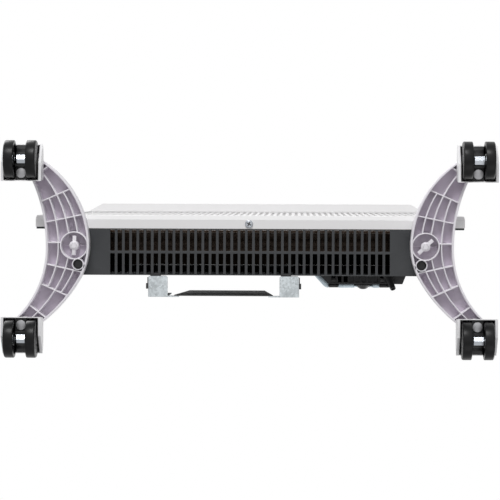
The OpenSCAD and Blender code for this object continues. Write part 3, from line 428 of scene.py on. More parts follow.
def finishes(colours):
    """Every finish by name: colour, skin effect, its values, bump, shader values, and wear with
    painted shade.
    """
    moulded, powder, drawn, spangle = "Moulded grain", "Powder skin", "Drawn metal", "Zinc spangle"
    metal = {"Metallic": 1.0}
    return {
        "white paint": (colours.white_paint, powder, {"Roughness": 0.34, "Flecks": 0.03},
                        (0.12, 0.0002), {}, {"dust": 0.04}),
        "charcoal paint": (colours.charcoal, powder, {"Roughness": 0.5, "Flecks": 0.22, "Peel": 900.0},
                           (0.25, 0.0002), {"Specular_IOR_Level": 0.35},
                           {"dust": 0.06, "rubbed": (0.5, (0.12, 0.125, 0.13))}),
        # The white plastic paints shade into the foot pockets.
        "white plastic": (colours.white_plastic, moulded, {"Roughness": 0.36, "Mottle": 0.02},
                          (0.1, 0.0001), {}, {"dust": 0.03, "rubbed": (0.35, (0.90, 0.89, 0.91)),
                                              "pocket_shaded": colours.pocket}),
        "hood plastic": (colours.hood_plastic, moulded, {"Roughness": 0.3, "Mottle": 0.015},
                         (0.08, 0.0001), {}, {"dust": 0.04}),
        "black plastic": (colours.black_plastic, moulded, {"Roughness": 0.42, "Mottle": 0.06},
                          (0.3, 0.0001), {"Specular_IOR_Level": 0.3},
                          {"dust": 0.05, "rubbed": (0.3, (0.09, 0.09, 0.095))}),
        "gloss black": (colours.black_plastic, moulded, {"Roughness": 0.2, "Mottle": 0.03},
                        (0.05, 0.0001), {}, {"dust": 0.03}),
        "tread": (colours.tread, moulded, {"Roughness": 0.3, "Mottle": 0.05, "Grain": 1200.0},
                  (0.08, 0.0001), {"Specular_IOR_Level": 0.16}, {"dust": 0.01, "scuffs": 0.05}),
        "silver band": (colours.silver, drawn, {"Roughness": 0.3, "Streak": 0.12,
                        "Stretch": (80.0, 1400.0, 1400.0)}, (0.05, 0.0001), {"Metallic": 0.7},
                        {"dust": 0.04}),
        "ivory plastic": (colours.ivory, moulded, {"Roughness": 0.45, "Mottle": 0.05},
                          (0.15, 0.0001), {}, {"dust": 0.1}),
        # The zinc arms carry the painted hook shade.
        "zinc": (colours.zinc, spangle, {"Roughness": 0.5, "Contrast": 0.7}, (0.15, 0.0001),
                 {"Metallic": 0.4},
                 {"rubbed": (0.5, (0.62, 0.64, 0.66)), "hook_shaded": True}),
        "steel": (colours.steel, drawn, {"Roughness": 0.38, "Streak": 0.35,
                  "Stretch": (900.0, 900.0, 60.0)}, (0.1, 0.0001), metal, {"dust": 0.15}),
        "chrome": (colours.chrome, drawn, {"Roughness": 0.22, "Streak": 0.06}, (0.02, 0.0001),
                   metal, {"dust": 0.04}),
        "satin steel": (colours.satin, drawn, {"Roughness": 0.42, "Streak": 0.12}, (0.03, 0.0001),
                        metal, {"dust": 0.04}),
        # Painted shade: near black with no specular, for the shaded heat shield
        "aluminium": (colours.aluminium, drawn, {"Roughness": 0.5, "Streak": 0.25,
                      "Stretch": (50.0, 700.0, 700.0)}, (0.08, 0.0001),
                      {"Specular_IOR_Level": 0.0}, {"dust": 0.02}),
        "element": (colours.element, drawn, {"Roughness": 0.5, "Streak": 0.6,
                    "Stretch": (40.0, 900.0, 900.0)}, (0.2, 0.0002),
                    {"Metallic": 0.2, "Specular_IOR_Level": 0.1}, {"dust": 0.04}),
        "mica": (colours.mica, spangle, {"Roughness": 0.45, "Cells": 260.0, "Contrast": 0.5},
                 (0.2, 0.0001), {"Coat_Weight": 0.2}, {"dust": 0.15}),
        "ribbon": (colours.ribbon, drawn, {"Roughness": 0.35, "Streak": 0.4}, (0.1, 0.0001),
                   metal, {}),
        # Near black: the cross plate's colour, and painted shade in the screw recesses
        "near black and painted shade": (colours.rubber, powder, {"Roughness": 0.4, "Flecks": 0.3, "Peel": 700.0},
                        (0.15, 0.0002), {}, {"dust": 0.04, "rubbed": (0.4, (0.07, 0.07, 0.07))}),
        "rubber": (colours.rubber, moulded, {"Roughness": 0.6, "Mottle": 0.08}, (0.3, 0.0001),
                   {}, {"dust": 0.08}),
        "ink": (colours.ink, moulded, {"Roughness": 0.5, "Mottle": 0.05}, (0.1, 0.00005), {}, {}),
    }


def finish(name):
    made_name = name + " finish"
    found = bpy.data.materials.get(made_name)
    if found:
        return found
    # The wear settings also carry the painted pocket shade and painted hook shade.
    paint, skin, values, bump, shader, wear_and_shade = finishes(bpy.context.scene.heater_colours)[name]
    return finish_of(made_name, tuple(paint), skin, values, bump, shader, **wear_and_shade)


# Helpers for pieces


def pick(piece):
    """Selects one object and nothing else."""
    bpy.ops.object.select_all(action="DESELECT")
    piece.select_set(True)
    bpy.context.view_layer.objects.active = piece


def begin(name, operator, **values):
    """Adds a primitive and names it."""
    bpy.ops.object.select_all(action="DESELECT")
    operator(**values)
    piece = bpy.context.object
    piece.name = piece.data.name = name
    return piece


def place(piece):
    """Puts a piece's place, turn and scale into its mesh."""
    pick(piece)
    bpy.ops.object.transform_apply(location=True, rotation=True, scale=True)
    return piece


def modify(piece, kind, **values):
    """Adds a modifier and applies it at once."""
    pick(piece)
    modifier = piece.modifiers.new(kind.title(), kind)
    for key, value in values.items():
        setattr(modifier, key, value)
    bpy.ops.object.modifier_apply(modifier=modifier.name)
    return piece


def mark_edges(piece):
    """Keeps the faces that a rounding made as the edge attribute, and clears their mark."""
    attribute = piece.data.attributes.new("edge", "FLOAT", "FACE")
    marks = [float(face.material_index == 1) for face in piece.data.polygons]
    attribute.data.foreach_set("value", marks)
    for face in piece.data.polygons:
        face.material_index = 0


def settle(piece, body, look, smooth=30.0):
    """Finishes a piece: its place in its mesh, its smoothing, finish, slot and body."""
    place(piece)
    bpy.ops.object.shade_smooth_by_angle(angle=math.radians(smooth))
    piece.data.materials.clear()
    piece.data.materials.append(finish(look))
    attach(piece, body)
    return piece


def join(pieces, name):
    """Joins several pieces into the first one."""
    bpy.ops.object.select_all(action="DESELECT")
    for piece in pieces:
        piece.select_set(True)
    bpy.context.view_layer.objects.active = pieces[0]
    if len(pieces) > 1:
        bpy.ops.object.join()
    pieces[0].name = pieces[0].data.name = name
    return pieces[0]


def body_of(node):
    return next(body for body, nodes in frame["record"]["behaviour"]["bodies"].items()
                if node in nodes)


def paint_node(node, look):
    """Gives a CAD node that keeps its own shape its finish."""
    piece = frame["nodes"][node]
    piece.data.materials.clear()
    piece.data.materials.append(finish(look))


def rounded(node, look, width, segments=2, angle=25.0, smooth=35.0):
    """Shows a copy of a CAD node with its edges rounded in place of the node."""
    piece = bpy.data.objects.new(node + "_shape", frame["nodes"][node].data.copy())
    bpy.context.scene.collection.objects.link(piece)
    pick(piece)
    bpy.ops.object.mode_set(mode="EDIT")
    bpy.ops.mesh.select_all(action="SELECT")
    bpy.ops.mesh.remove_doubles(threshold=0.002 * MILLIMETRE)
    bpy.ops.object.mode_set(mode="OBJECT")
    piece.data.materials.clear()
    # The second slot marks the faces that the rounding makes, until mark_edges reads them
    for _ in range(2):
        piece.data.materials.append(finish(look))
    modify(piece, "BEVEL", width=width, segments=segments, limit_method="ANGLE",
           angle_limit=math.radians(angle), use_clamp_overlap=False, material=1,
           harden_normals=False)
    mark_edges(piece)
    settle(piece, body_of(node), look, smooth)
    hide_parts(node)
    return piece


def span(node):
    """Lowest corner, highest corner, middle and size of a CAD node."""
    low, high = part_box(node)
    return low, high, (low + high) / 2, high - low


class HEATER_OT_front_panel(bpy.types.Operator):
    """Paint the pressed front panel"""

    bl_idname = "heater.front_panel"
    bl_label = "Front panel"

    def execute(self, context):
        paint_node("front_panel", "white paint")
        return {"FINISHED"}


class HEATER_OT_front_grille(bpy.types.Operator):
    """Punch the slotted sheet behind the window of the panel"""

    bl_idname = "heater.front_grille"
    bl_label = "Front grille"

    def execute(self, context):
        sizes = context.scene.heater_sizes
        corner_share, weld = 0.35, 0.01 * MILLIMETRE
        middle, size = span("front_grille")[2:]
        lean = math.atan2(size.y - sizes.grille_sheet, size.z)
        slope = math.hypot(size.y - sizes.grille_sheet, size.z)
        row = slope / sizes.grille_rows
        columns = int(size.x / sizes.grille_pitch)
        cell_w = size.x / columns
        cell = begin("front_grille_sheet", bpy.ops.mesh.primitive_plane_add, size=1.0,
                     rotation=(math.pi / 2, 0.0, 0.0))
        cell.scale = (cell_w, row, 1.0)
        place(cell)
        bpy.ops.object.mode_set(mode="EDIT")
        bpy.ops.mesh.select_all(action="SELECT")
        bpy.ops.mesh.inset(thickness=(cell_w - sizes.grille_slot) / 2)
        spare = row - (cell_w - sizes.grille_slot)
        bpy.ops.transform.resize(value=(1.0, 1.0, (row - sizes.grille_bar) / spare))
        bpy.ops.mesh.bevel(offset=sizes.grille_slot * corner_share, segments=2, affect="VERTICES")
        bpy.ops.mesh.select_all(action="DESELECT")
        bpy.ops.object.mode_set(mode="OBJECT")
        inner = min(cell.data.polygons, key=lambda face: face.center.length + face.area)
        inner.select = True
        bpy.ops.object.mode_set(mode="EDIT")
        bpy.ops.mesh.select_mode(type="FACE")
        bpy.ops.mesh.delete(type="FACE")
        bpy.ops.object.mode_set(mode="OBJECT")
        modify(cell, "ARRAY", count=columns, relative_offset_displace=(1.0, 0.0, 0.0),
               use_merge_vertices=True, merge_threshold=weld)
        modify(cell, "ARRAY", count=sizes.grille_rows, relative_offset_displace=(0.0, 0.0, 1.0),
               use_merge_vertices=True, merge_threshold=weld)
        modify(cell, "SOLIDIFY", thickness=sizes.grille_sheet, offset=0.0)
        bpy.ops.object.origin_set(type="ORIGIN_GEOMETRY", center="BOUNDS")
        cell.location = middle
        cell.rotation_euler.x = lean
        settle(cell, "casing", "white paint")
        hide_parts("front_grille")
        return {"FINISHED"}


class HEATER_OT_casing(bpy.types.Operator):
    """Paint the charcoal cover and round its slotted plates"""

    bl_idname = "heater.casing"
    bl_label = "Casing"

    def execute(self, context):
        sizes = context.scene.heater_sizes
        paint_node("rear_cover", "charcoal paint")
        for node in ("bottom_grille", "top_grille"):
            rounded(node, "charcoal paint", sizes.sheet_edge)
        return {"FINISHED"}


class HEATER_OT_heating(bpy.types.Operator):
    """Finish the heating pieces and wind ribbons across the infrared panel"""

    bl_idname = "heater.heating"
    bl_label = "Heating pieces"

    def execute(self, context):
        sizes = context.scene.heater_sizes
        # Partly painted shade: the finishes of the pieces inside the casing are darkened for the shade
        # there
        looks = {
            "inner_frame_left": "steel", "inner_frame_right": "steel", "infrared_panel": "mica",
            "infrared_frame": "steel", "heat_shield": "aluminium", "element_brackets": "steel",
            "thermal_cutout": "ivory plastic", "tilt_switch": "ivory plastic",
            "terminal_block": "ivory plastic", "wiring_loom": "rubber", "foot_nuts": "steel",
        }
        for node, look in looks.items():
            paint_node(node, look)
        rounded("convector_element", "element", sizes.sheet_edge)
        low, high, middle, size = span("infrared_panel")
        margin_pitches = 4
        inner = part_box("infrared_frame")[0].z - low.z + margin_pitches * sizes.ribbon_pitch
        ribbon = begin("heating_ribbons", bpy.ops.mesh.primitive_cube_add, size=1.0)
        ribbon.scale = (size.x - 2 * inner, sizes.ribbon_t, sizes.ribbon_w)
        place(ribbon)
        count = int((size.z - 2 * inner) / sizes.ribbon_pitch)
        bpy.ops.object.mode_set(mode="EDIT")
        bpy.ops.mesh.select_all(action="SELECT")
        bpy.ops.mesh.subdivide(number_cuts=1)
        bpy.ops.object.mode_set(mode="OBJECT")
        modify(ribbon, "BEVEL", width=sizes.ribbon_t / 4, segments=1)
        modify(ribbon, "ARRAY", count=count, use_relative_offset=False,
               use_constant_offset=True, constant_offset_displace=(0.0, 0.0, sizes.ribbon_pitch))
        ribbon.location = (middle.x, high.y + sizes.ribbon_t / 2, low.z + inner)
        settle(ribbon, "casing", "ribbon")
        return {"FINISHED"}


class HEATER_OT_control_box(bpy.types.Operator):
    """Round the control box and its band, add window louvres and dial marks"""

    bl_idname = "heater.control_box"
    bl_label = "Control box"

    def execute(self, context):
        sizes = context.scene.heater_sizes
        rounded("control_housing", "black plastic", sizes.shell_edge)
        rounded("control_bezel", "silver band", sizes.bezel_edge, 3)
        paint_node("thermostat_body", "black plastic")
        self.louvres(sizes)
        self.dial_marks(sizes)
        return {"FINISHED"}

    def louvres(self, sizes):
        """Ribs across the window of the silver band"""
        house_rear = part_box("control_housing")[1].y
        low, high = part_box("control_bezel")
        switch_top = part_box("switch_bodies")[1].z
        lip, slope_w, clear = 8 * MILLIMETRE, 40 * MILLIMETRE, 2 * MILLIMETRE
        rib_t, rib_share, rib_edge = 2 * MILLIMETRE, 0.45, 0.6 * MILLIMETRE
        left, right = low.x + slope_w, high.x - lip - clear
        bottom, top = switch_top + lip + 2 * clear, high.z - lip - clear
        rib = begin("window_louvres", bpy.ops.mesh.primitive_cube_add, size=1.0)
        rib.scale = (right - left, rib_t, sizes.louvre_pitch * rib_share)
        place(rib)
        modify(rib, "BEVEL", width=rib_edge, segments=2)
        modify(rib, "ARRAY", count=int((top - bottom) / sizes.louvre_pitch),
               use_relative_offset=False, use_constant_offset=True,
               constant_offset_displace=(0.0, 0.0, sizes.louvre_pitch))
        rib.location = ((left + right) / 2, house_rear + rib_edge, bottom)
        settle(rib, "casing", "black plastic")

    def dial_marks(self, sizes):
        """Marks on the silver band above the knob, the middle one longer"""
        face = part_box("control_bezel")[1].y
        middle, size = span("thermostat_knob")[2:]
        off_knob, long_share = 2.6 * MILLIMETRE, 1.5
        reach = size.x / 2 + off_knob
        marks = []
        first, last, count, least_rise = -30.0, 210.0, 9, 0.05
        for index in range(count):
            turn = math.radians(first + index * (last - first) / (count - 1))
            if math.sin(turn) < least_rise:
                continue
            tick = begin("tick", bpy.ops.mesh.primitive_cube_add, size=1.0)
            longer = long_share if index == count // 2 else 1.0
            tick.scale = (sizes.tick_l * longer, sizes.ink_t, sizes.tick_w)
            tick.location = (middle.x + reach * math.cos(turn), face + sizes.ink_t / 2,
                             middle.z + reach * math.sin(turn))
            tick.rotation_euler.y = -turn
            marks.append(place(tick))
        settle(join(marks, "dial_marks"), "casing", "ink")


class HEATER_OT_switches(bpy.types.Operator):
    """Round the rocker switches and mark them"""

    bl_idname = "heater.switches"
    bl_label = "Rocker switches"

    def execute(self, context):
        sizes = context.scene.heater_sizes
        rounded("switch_bodies", "gloss black", sizes.shell_edge / 2)
        for side in SIDES:
            node = "rocker_" + side
            self.marks(node, rounded(node, "gloss black", sizes.shell_edge / 2))
        return {"FINISHED"}

    def marks(self, node, piece):
        """A line on the upper half and a ring on the lower half of the rocker"""
        high, middle, size = span(node)[1:]
        ring_r, ring_t = 1.5 * MILLIMETRE, 0.3 * MILLIMETRE
        height_share, sunk = 0.24, 0.15 * MILLIMETRE
        bar = begin("bar", bpy.ops.mesh.primitive_cube_add, size=1.0)
        bar.scale = Vector((0.7, 0.5, 3.2)) * MILLIMETRE
        ring = begin("ring", bpy.ops.mesh.primitive_torus_add, major_radius=ring_r,
                     minor_radius=ring_t, major_segments=24, minor_segments=6,
                     rotation=(math.pi / 2, 0.0, 0.0))
        pieces = []
        for mark, share in ((bar, height_share), (ring, -height_share)):
            spot = Vector((middle.x, high.y + ABOVE, middle.z + share * size.z))
            hit = piece.ray_cast(spot, Vector((0, -1, 0)))
            if not hit[0]:
                raise RuntimeError("the rocker has no face for its mark")
            mark.location = (spot.x, hit[1].y - sunk, spot.z)
            mark.rotation_euler.x += math.atan2(hit[2].z, hit[2].y)
            pieces.append(place(mark))
        settle(join(pieces, node + "_marks"), node, "ink")


class HEATER_OT_knob(bpy.types.Operator):
    """Round the knob, ridge its edge and lay its pointer line"""

    bl_idname = "heater.knob"
    bl_label = "Thermostat knob"

    def execute(self, context):
        sizes = context.scene.heater_sizes
        knob = rounded("thermostat_knob", "black plastic", sizes.shell_edge, 2)
        paint_node("thermostat_shaft", "chrome")
        self.ridges()
        self.line(sizes, knob)
        return {"FINISHED"}

    def ridges(self):
        """Fine ridges round the knob's skirt"""
        low, _, middle, size = span("thermostat_knob")
        count, ridge_r, ridge_h = 30, 0.45 * MILLIMETRE, 2.0 * MILLIMETRE
        sunk, rise = 0.32 * MILLIMETRE, 1.1 * MILLIMETRE
        reach = size.x / 2 - sunk
        ridges = []
        for index in range(count):
            turn = 2 * math.pi * index / count
            ridge = begin("ridge", bpy.ops.mesh.primitive_cylinder_add, vertices=8,
                          radius=ridge_r, depth=ridge_h, rotation=(math.pi / 2, 0.0, 0.0))
            ridge.location = (middle.x + reach * math.cos(turn), low.y + rise,
                              middle.z + reach * math.sin(turn))
            ridges.append(place(ridge))
        settle(join(ridges, "knob_ridges"), "knob", "black plastic", 60.0)

    def line(self, sizes, knob):
        """A printed line that follows the knob's dome"""
        high, middle = span("thermostat_knob")[1:3]
        line_w, line_l, off_middle = 0.8 * MILLIMETRE, 5.0 * MILLIMETRE, 4.2 * MILLIMETRE
        sunk = 3 * sizes.ink_t
        top_layer = 0.4  # just under the upper face of the unit cube
        line = begin("knob_line", bpy.ops.mesh.primitive_cube_add, size=1.0)
        line.scale = (line_w, 1.0, line_l)
        line.location = (middle.x, 0.0, middle.z + off_middle)
        place(line)
        bpy.ops.object.mode_set(mode="EDIT")
        bpy.ops.mesh.select_all(action="SELECT")
        bpy.ops.mesh.subdivide(number_cuts=5)
        bpy.ops.object.mode_set(mode="OBJECT")
        for vertex in line.data.vertices:
            above = Vector((vertex.co.x, high.y + ABOVE, vertex.co.z))
            surface = knob.ray_cast(above, Vector((0, -1, 0)))[1].y
            vertex.co.y = surface + (sizes.ink_t if vertex.co.y > top_layer else -sunk)
        settle(line, "knob", "ink")


class HEATER_OT_gland(bpy.types.Operator):
    """Round the rubber gland"""

    bl_idname = "heater.gland"
    bl_label = "Cord gland"

    def execute(self, context):
        sizes = context.scene.heater_sizes
        rounded("cord_gland", "rubber", sizes.shell_edge / 2)
        return {"FINISHED"}


class HEATER_OT_bracket(bpy.types.Operator):
    """Round the wall bracket"""

    bl_idname = "heater.bracket"
    bl_label = "Wall bracket"

    def execute(self, context):
        sizes = context.scene.heater_sizes
        for side in SIDES:
            rounded("bracket_arm_" + side, "zinc", sizes.sheet_edge * 2)
        rounded("bracket_plate", "near black and painted shade", sizes.sheet_edge)
        rounded("bracket_bumpers", "rubber", sizes.sheet_edge)
        return {"FINISHED"}


class HEATER_OT_feet(bpy.types.Operator):
    """Round the ribbed feet, their pegs and wing screws"""

    bl_idname = "heater.feet"
    bl_label = "Feet"

    def execute(self, context):
        sizes = context.scene.heater_sizes
        for side in SIDES:
            rounded("foot_" + side, "white plastic", sizes.rim_edge, 2, 30.0)
            rounded("wing_screw_" + side, "white plastic", sizes.rim_edge)
        rounded("foot_pegs", "black plastic", sizes.shell_edge, 3)
        return {"FINISHED"}


class HEATER_OT_screws(bpy.types.Operator):
    """Model the pan heads with their cross recess"""

    bl_idname = "heater.screws"
    bl_label = "Screws"

    def execute(self, context):
        low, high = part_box("casing_screws")
        panel_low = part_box("front_panel")[0]
        head_r, head_t = 4.3 * MILLIMETRE, panel_low.z - low.z
        head = self.head(head_r, head_t)
        recess = self.recess(head, head_r, head_t)
        front_x, front_turn, rear_lift = -1 * MILLIMETRE, 0.5, 18 * MILLIMETRE
        spots = [(Vector((front_x, low.y + head_r, panel_low.z - head_t / 2)),
                  (math.pi, 0.0, front_turn))]
        rear_y = high.y - head_t / 2
        for x in (low.x + head_r, high.x - head_r):
            for z in (high.z - head_r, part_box("rear_cover")[0].z + rear_lift):
                spots.append((Vector((x, rear_y, z)), (-math.pi / 2, x + z, 0.0)))
        # The dark cross in each head is painted shade of the recess
        for part, name, look in ((head, "screw_heads", "chrome"),
                                 (recess, "screw_recess_shades", "near black and painted shade")):
            copies = []
            for spot, turn in spots:
                copy = part.copy()
                copy.data = part.data.copy()
                bpy.context.scene.collection.objects.link(copy)
                copy.location, copy.rotation_euler = spot, turn
                copies.append(place(copy))
            bpy.data.objects.remove(part)
            settle(join(copies, name), "casing", look, 40.0)
        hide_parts("casing_screws")
        return {"FINISHED"}

    def head(self, head_r, head_t):
        """A pan head with a domed edge"""
        upward, dome_share = 0.9, 0.75
        head = begin("head", bpy.ops.mesh.primitive_cylinder_add, vertices=32, radius=head_r,
                     depth=head_t, end_fill_type="NGON")
        bpy.ops.object.mode_set(mode="EDIT")
        bpy.ops.mesh.select_all(action="DESELECT")
        bpy.ops.object.mode_set(mode="OBJECT")
        for face in head.data.polygons:
            face.select = face.normal.z > upward
        bpy.ops.object.mode_set(mode="EDIT")
        bpy.ops.mesh.select_mode(type="FACE")
        bpy.ops.mesh.bevel(offset=head_t * dome_share, segments=4, affect="EDGES", profile=0.6)
        bpy.ops.object.mode_set(mode="OBJECT")
        return head

    def recess(self, head, head_r, head_t):
        """Cuts the cross into the head, and gives a dark cross inside it as painted shade of the
        recess.
        """
        length_share, width_share, depth_share = 1.25, 0.24, 1.1
        shade_top, shade_bottom = 0.1 * head_t, -0.2 * head_t
        blades = []
        for turn in (0.0, math.pi / 2):
            blade = begin("blade", bpy.ops.mesh.primitive_cube_add, size=1.0,
                          location=(0.0, 0.0, head_t / 2), rotation=(0.0, 0.0, turn))
            blade.scale = (head_r * length_share, head_r * width_share, head_t * depth_share)
            blades.append(place(blade))
            modify(head, "BOOLEAN", operation="DIFFERENCE", object=blade, solver="EXACT")
        for blade in blades:
            for vertex in blade.data.vertices:
                vertex.co.z = shade_top if vertex.co.z > head_t / 2 else shade_bottom
        return join(blades, "recess")


class HEATER_OT_castors(bpy.types.Operator):
    """Round the castor hoods and finish frames, stems and axles"""

    bl_idname = "heater.castors"
    bl_label = "Castors"

    def execute(self, context):
        sizes = context.scene.heater_sizes
        for corner in CORNERS:
            rounded("castor_hood_" + corner, "hood plastic", sizes.shell_edge, 3)
            # Partly painted shade: the black frames carry a liner under each hood whose black stands
            # for the shade there, round a black plastic web
            rounded("castor_frame_" + corner, "black plastic", sizes.sheet_edge)
            rounded("stem_" + corner, "satin steel", sizes.sheet_edge)
            paint_node("axle_" + corner, "chrome")
        return {"FINISHED"}


class HEATER_OT_wheels(bpy.types.Operator):
    """Turn one castor wheel and set eight copies of it"""

    bl_idname = "heater.wheels"
    bl_label = "Wheels"

    def execute(self, context):
        middle, size = span("wheel_fr_right")[2:]
        profile = self.profile(size.z / 2, size.x / 2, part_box("axle_fr")[1].x - middle.x)
        wheel = begin("wheel", bpy.ops.mesh.primitive_circle_add, vertices=len(profile))
        for vertex, (x, r) in zip(wheel.data.vertices, profile):
            vertex.co = (x, 0.0, r)
        pick(wheel)
        bpy.ops.object.mode_set(mode="EDIT")
        bpy.ops.mesh.select_all(action="SELECT")
        bpy.ops.mesh.spin(steps=72, angle=2 * math.pi, center=(0.0, 0.0, 0.0), axis=(1.0, 0.0, 0.0))
        bpy.ops.mesh.select_all(action="SELECT")
        bpy.ops.mesh.remove_doubles(threshold=0.01 * MILLIMETRE)
        bpy.ops.mesh.delete_loose()
        bpy.ops.mesh.select_all(action="SELECT")
        bpy.ops.mesh.normals_make_consistent(inside=False)
        bpy.ops.object.mode_set(mode="OBJECT")
        for corner in CORNERS:
            for side in SIDES:
                node = "wheel_{}_{}".format(corner, side)
                copy = bpy.data.objects.new(node + "_shape", wheel.data.copy())
                bpy.context.scene.collection.objects.link(copy)
                copy.location = span(node)[2]
                copy.rotation_euler.z = 0.0 if side == "right" else math.pi
                settle(copy, body_of(node), "tread")
                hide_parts(node)
        bpy.data.objects.remove(wheel)
        return {"FINISHED"}

    def profile(self, radius, outer, pin_end):
        """Points (x, distance from the axle) round half of a wheel's section"""
        groove, shoulder, ease = 0.35 * MILLIMETRE, 1.8 * MILLIMETRE, 0.9 * MILLIMETRE
        bulge, recess, bore_r = 0.4 * MILLIMETRE, 1.2 * MILLIMETRE, 4.2 * MILLIMETRE
        hub_r, hub_foot_r, cap_r = 6.5 * MILLIMETRE, 7.2 * MILLIMETRE, 7.0 * MILLIMETRE
        rim_t, rim_foot_t, ring_in = 3.6 * MILLIMETRE, 4.0 * MILLIMETRE, 5.0 * MILLIMETRE
        bulge_r, pin_gap, web = 5.0 * MILLIMETRE, 0.2 * MILLIMETRE, 1.0 * MILLIMETRE
        inner, face = -outer, outer - bulge
        pin_end = min(pin_end + pin_gap, face - web)
        points = [(inner, bore_r), (inner, hub_r), (inner + recess, hub_foot_r),
                  (inner + recess, radius - rim_foot_t), (inner, radius - rim_t)]
        points += [(inner + ease * (1 - math.cos(a)), radius - ease * (1 - math.sin(a)))
                   for a in (math.radians(d) for d in range(0, 91, 30))]
        points += [(face - shoulder * (1 - math.sin(a)), radius - shoulder * (1 - math.cos(a)))
                   for a in (math.radians(d) for d in range(0, 91, 18))]
        for rim, slant, floor in ((radius - ring_in, 0.3 * MILLIMETRE, 0.9 * MILLIMETRE),
                                  (cap_r, 0.2 * MILLIMETRE, 0.6 * MILLIMETRE)):
            points += [(face, rim), (face - groove, rim - slant),
                       (face - groove, rim - slant - floor), (face, rim - 2 * slant - floor)]
        points += [(face + bulge, bulge_r), (face + bulge, 0.0), (pin_end, 0.0), (pin_end, bore_r)]
        return points


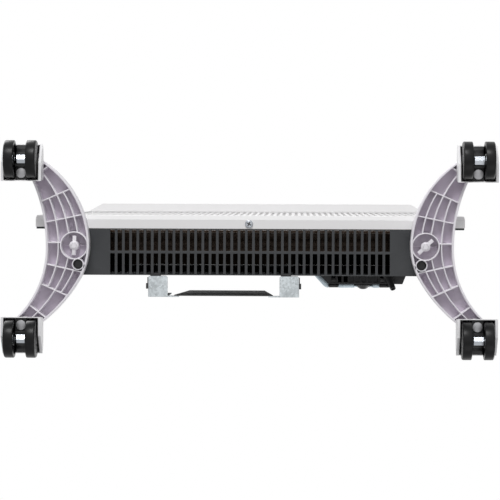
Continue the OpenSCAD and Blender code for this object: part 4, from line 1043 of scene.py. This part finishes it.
class HEATER_OT_stage(bpy.types.Operator):
    """Set the pale floor, the soft lamps, the white surround and the camera"""

    bl_idname = "heater.stage"
    bl_label = "Stage"

    def execute(self, context):
        sizes = context.scene.heater_sizes
        self.floor()
        self.surround()
        # Name, place, size and power of each lamp
        lamps = (
            ("front_below", (-0.2, -2.2, -1.6), 1.0, 46.0),
            ("middle_below", (0.2, -1.0, -2.4), 1.8, 6.0),
            ("rear_below", (0.6, 1.8, -2.0), 1.4, 6.0),
            ("front_above", (-1.3, -1.8, 1.9), 1.5, 34.0),
            ("rear_above", (1.5, 1.5, 1.7), 1.4, 16.0),
        )
        for name, spot, size, power in lamps:
            self.lamp(name, Vector(spot), size, power)
        self.camera(sizes)
        return {"FINISHED"}

    def floor(self):
        """A floor that only the camera sees, and only from above"""
        floor = begin("floor", bpy.ops.mesh.primitive_plane_add, size=6.0,
                      location=(0.0, 0.0, -0.2 * MILLIMETRE))
        place(floor)
        made = bpy.data.materials.new("pale floor")
        tree = shader_tree(made)
        paint = tuple(bpy.context.scene.heater_colours.floor)
        skin = effect(tree, "Moulded grain", Color=(*paint, 1.0), Grain=300.0, Mottle=0.01,
                      Roughness=0.6)
        matt = add(tree, "ShaderNodeBsdfPrincipled", Base_Color=skin["Color"],
                   Roughness=skin["Roughness"])
        clear = tree.nodes.new("ShaderNodeBsdfTransparent")
        behind = add(tree, "ShaderNodeNewGeometry").outputs["Backfacing"]
        seen = add(tree, "ShaderNodeLightPath").outputs["Is Camera Ray"]
        passing = maths(tree, "SUBTRACT", 1.0, seen)
        both = add(tree, "ShaderNodeMixShader", Fac=maths(tree, "MAXIMUM", behind, passing))
        tree.links.new(matt.outputs[0], both.inputs[1])
        tree.links.new(clear.outputs[0], both.inputs[2])
        show(tree, both)
        floor.data.materials.append(made)

    def surround(self):
        """White for the camera and for reflections, dimmer as a light"""
        ambient = 0.33
        world = bpy.data.worlds.new("white surround")
        bpy.context.scene.world = world
        tree = shader_tree(world)
        rays = add(tree, "ShaderNodeLightPath").outputs
        seen = maths(tree, "MAXIMUM", rays["Is Camera Ray"], maths(
            tree, "MAXIMUM", rays["Is Glossy Ray"], rays["Is Transmission Ray"]))
        strength = ramp(tree, seen, 0.0, 1.0, ambient, 1.0)
        white = add(tree, "ShaderNodeBackground", Color=(1.0, 1.0, 1.0, 1.0), Strength=strength)
        show(tree, white, "ShaderNodeOutputWorld")

    def lamp(self, name, spot, size, power):
        bpy.ops.object.light_add(type="AREA", location=spot)
        lamp = bpy.context.object
        lamp.name = name
        lamp.data.size = size
        lamp.data.energy = power
        middle_of_heater = Vector((0.0, 0.0, 0.2))
        aim = middle_of_heater - spot
        lamp.rotation_euler = aim.to_track_quat("-Z", "Y").to_euler()

    def camera(self, sizes):
        """The camera looks up, with its upper edge towards the heater's front"""
        # Pixels across the picture, and from its middle to the point that upright edges run to
        across, tilt_x, tilt_y = 500.0, 46.5, 45.0
        sensor, off_x, off_y = 36.0, 0.050, -0.0473
        focal = sizes.lens / MILLIMETRE
        pixel = sensor / across / focal
        look = Vector((-tilt_x * pixel, tilt_y * pixel, 1.0)).normalized()
        roll = math.radians(-0.22)
        up_hint = Vector((math.sin(roll), -math.cos(roll), 0.0))
        right = look.cross(up_hint).normalized()
        up = right.cross(look).normalized()
        turn = Matrix((right, up, -look)).transposed()
        bpy.ops.object.camera_add(location=(off_x, off_y, -sizes.reach))
        camera = bpy.context.object
        camera.name = "camera"
        camera.rotation_euler = turn.to_euler()
        camera.data.lens = focal
        camera.data.sensor_width = sensor
        camera.data.clip_end = 20.0
        bpy.context.scene.camera = camera
        bpy.context.scene.view_settings.view_transform = "Standard"


PIECES = (
    HEATER_OT_front_panel, HEATER_OT_front_grille, HEATER_OT_casing, HEATER_OT_heating,
    HEATER_OT_control_box, HEATER_OT_switches, HEATER_OT_knob, HEATER_OT_gland,
    HEATER_OT_bracket, HEATER_OT_feet, HEATER_OT_screws, HEATER_OT_castors, HEATER_OT_wheels,
    HEATER_OT_stage,
)


class HEATER_PT_menu(bpy.types.Panel):
    """Lists the heater's pieces and sizes"""

    bl_label = "Panel heater"
    bl_space_type = "VIEW_3D"
    bl_region_type = "UI"
    bl_category = "Heater"

    def draw(self, context):
        for piece in PIECES:
            self.layout.operator(piece.bl_idname)
        for group in (context.scene.heater_sizes, context.scene.heater_colours):
            for name in group.__annotations__:
                self.layout.prop(group, name)


CLASSES = (HeaterSizes, HeaterColours, *PIECES, HEATER_PT_menu)


def register():
    for each in CLASSES:
        bpy.utils.register_class(each)
    bpy.types.Scene.heater_sizes = PointerProperty(type=HeaterSizes)
    bpy.types.Scene.heater_colours = PointerProperty(type=HeaterColours)


def unregister():
    del bpy.types.Scene.heater_colours
    del bpy.types.Scene.heater_sizes
    for each in reversed(CLASSES):
        bpy.utils.unregister_class(each)


def main():
    register()
    for piece in PIECES:
        area, name = piece.bl_idname.split(".")
        getattr(getattr(bpy.ops, area), name)()


if __name__ == "__main__":
    main()
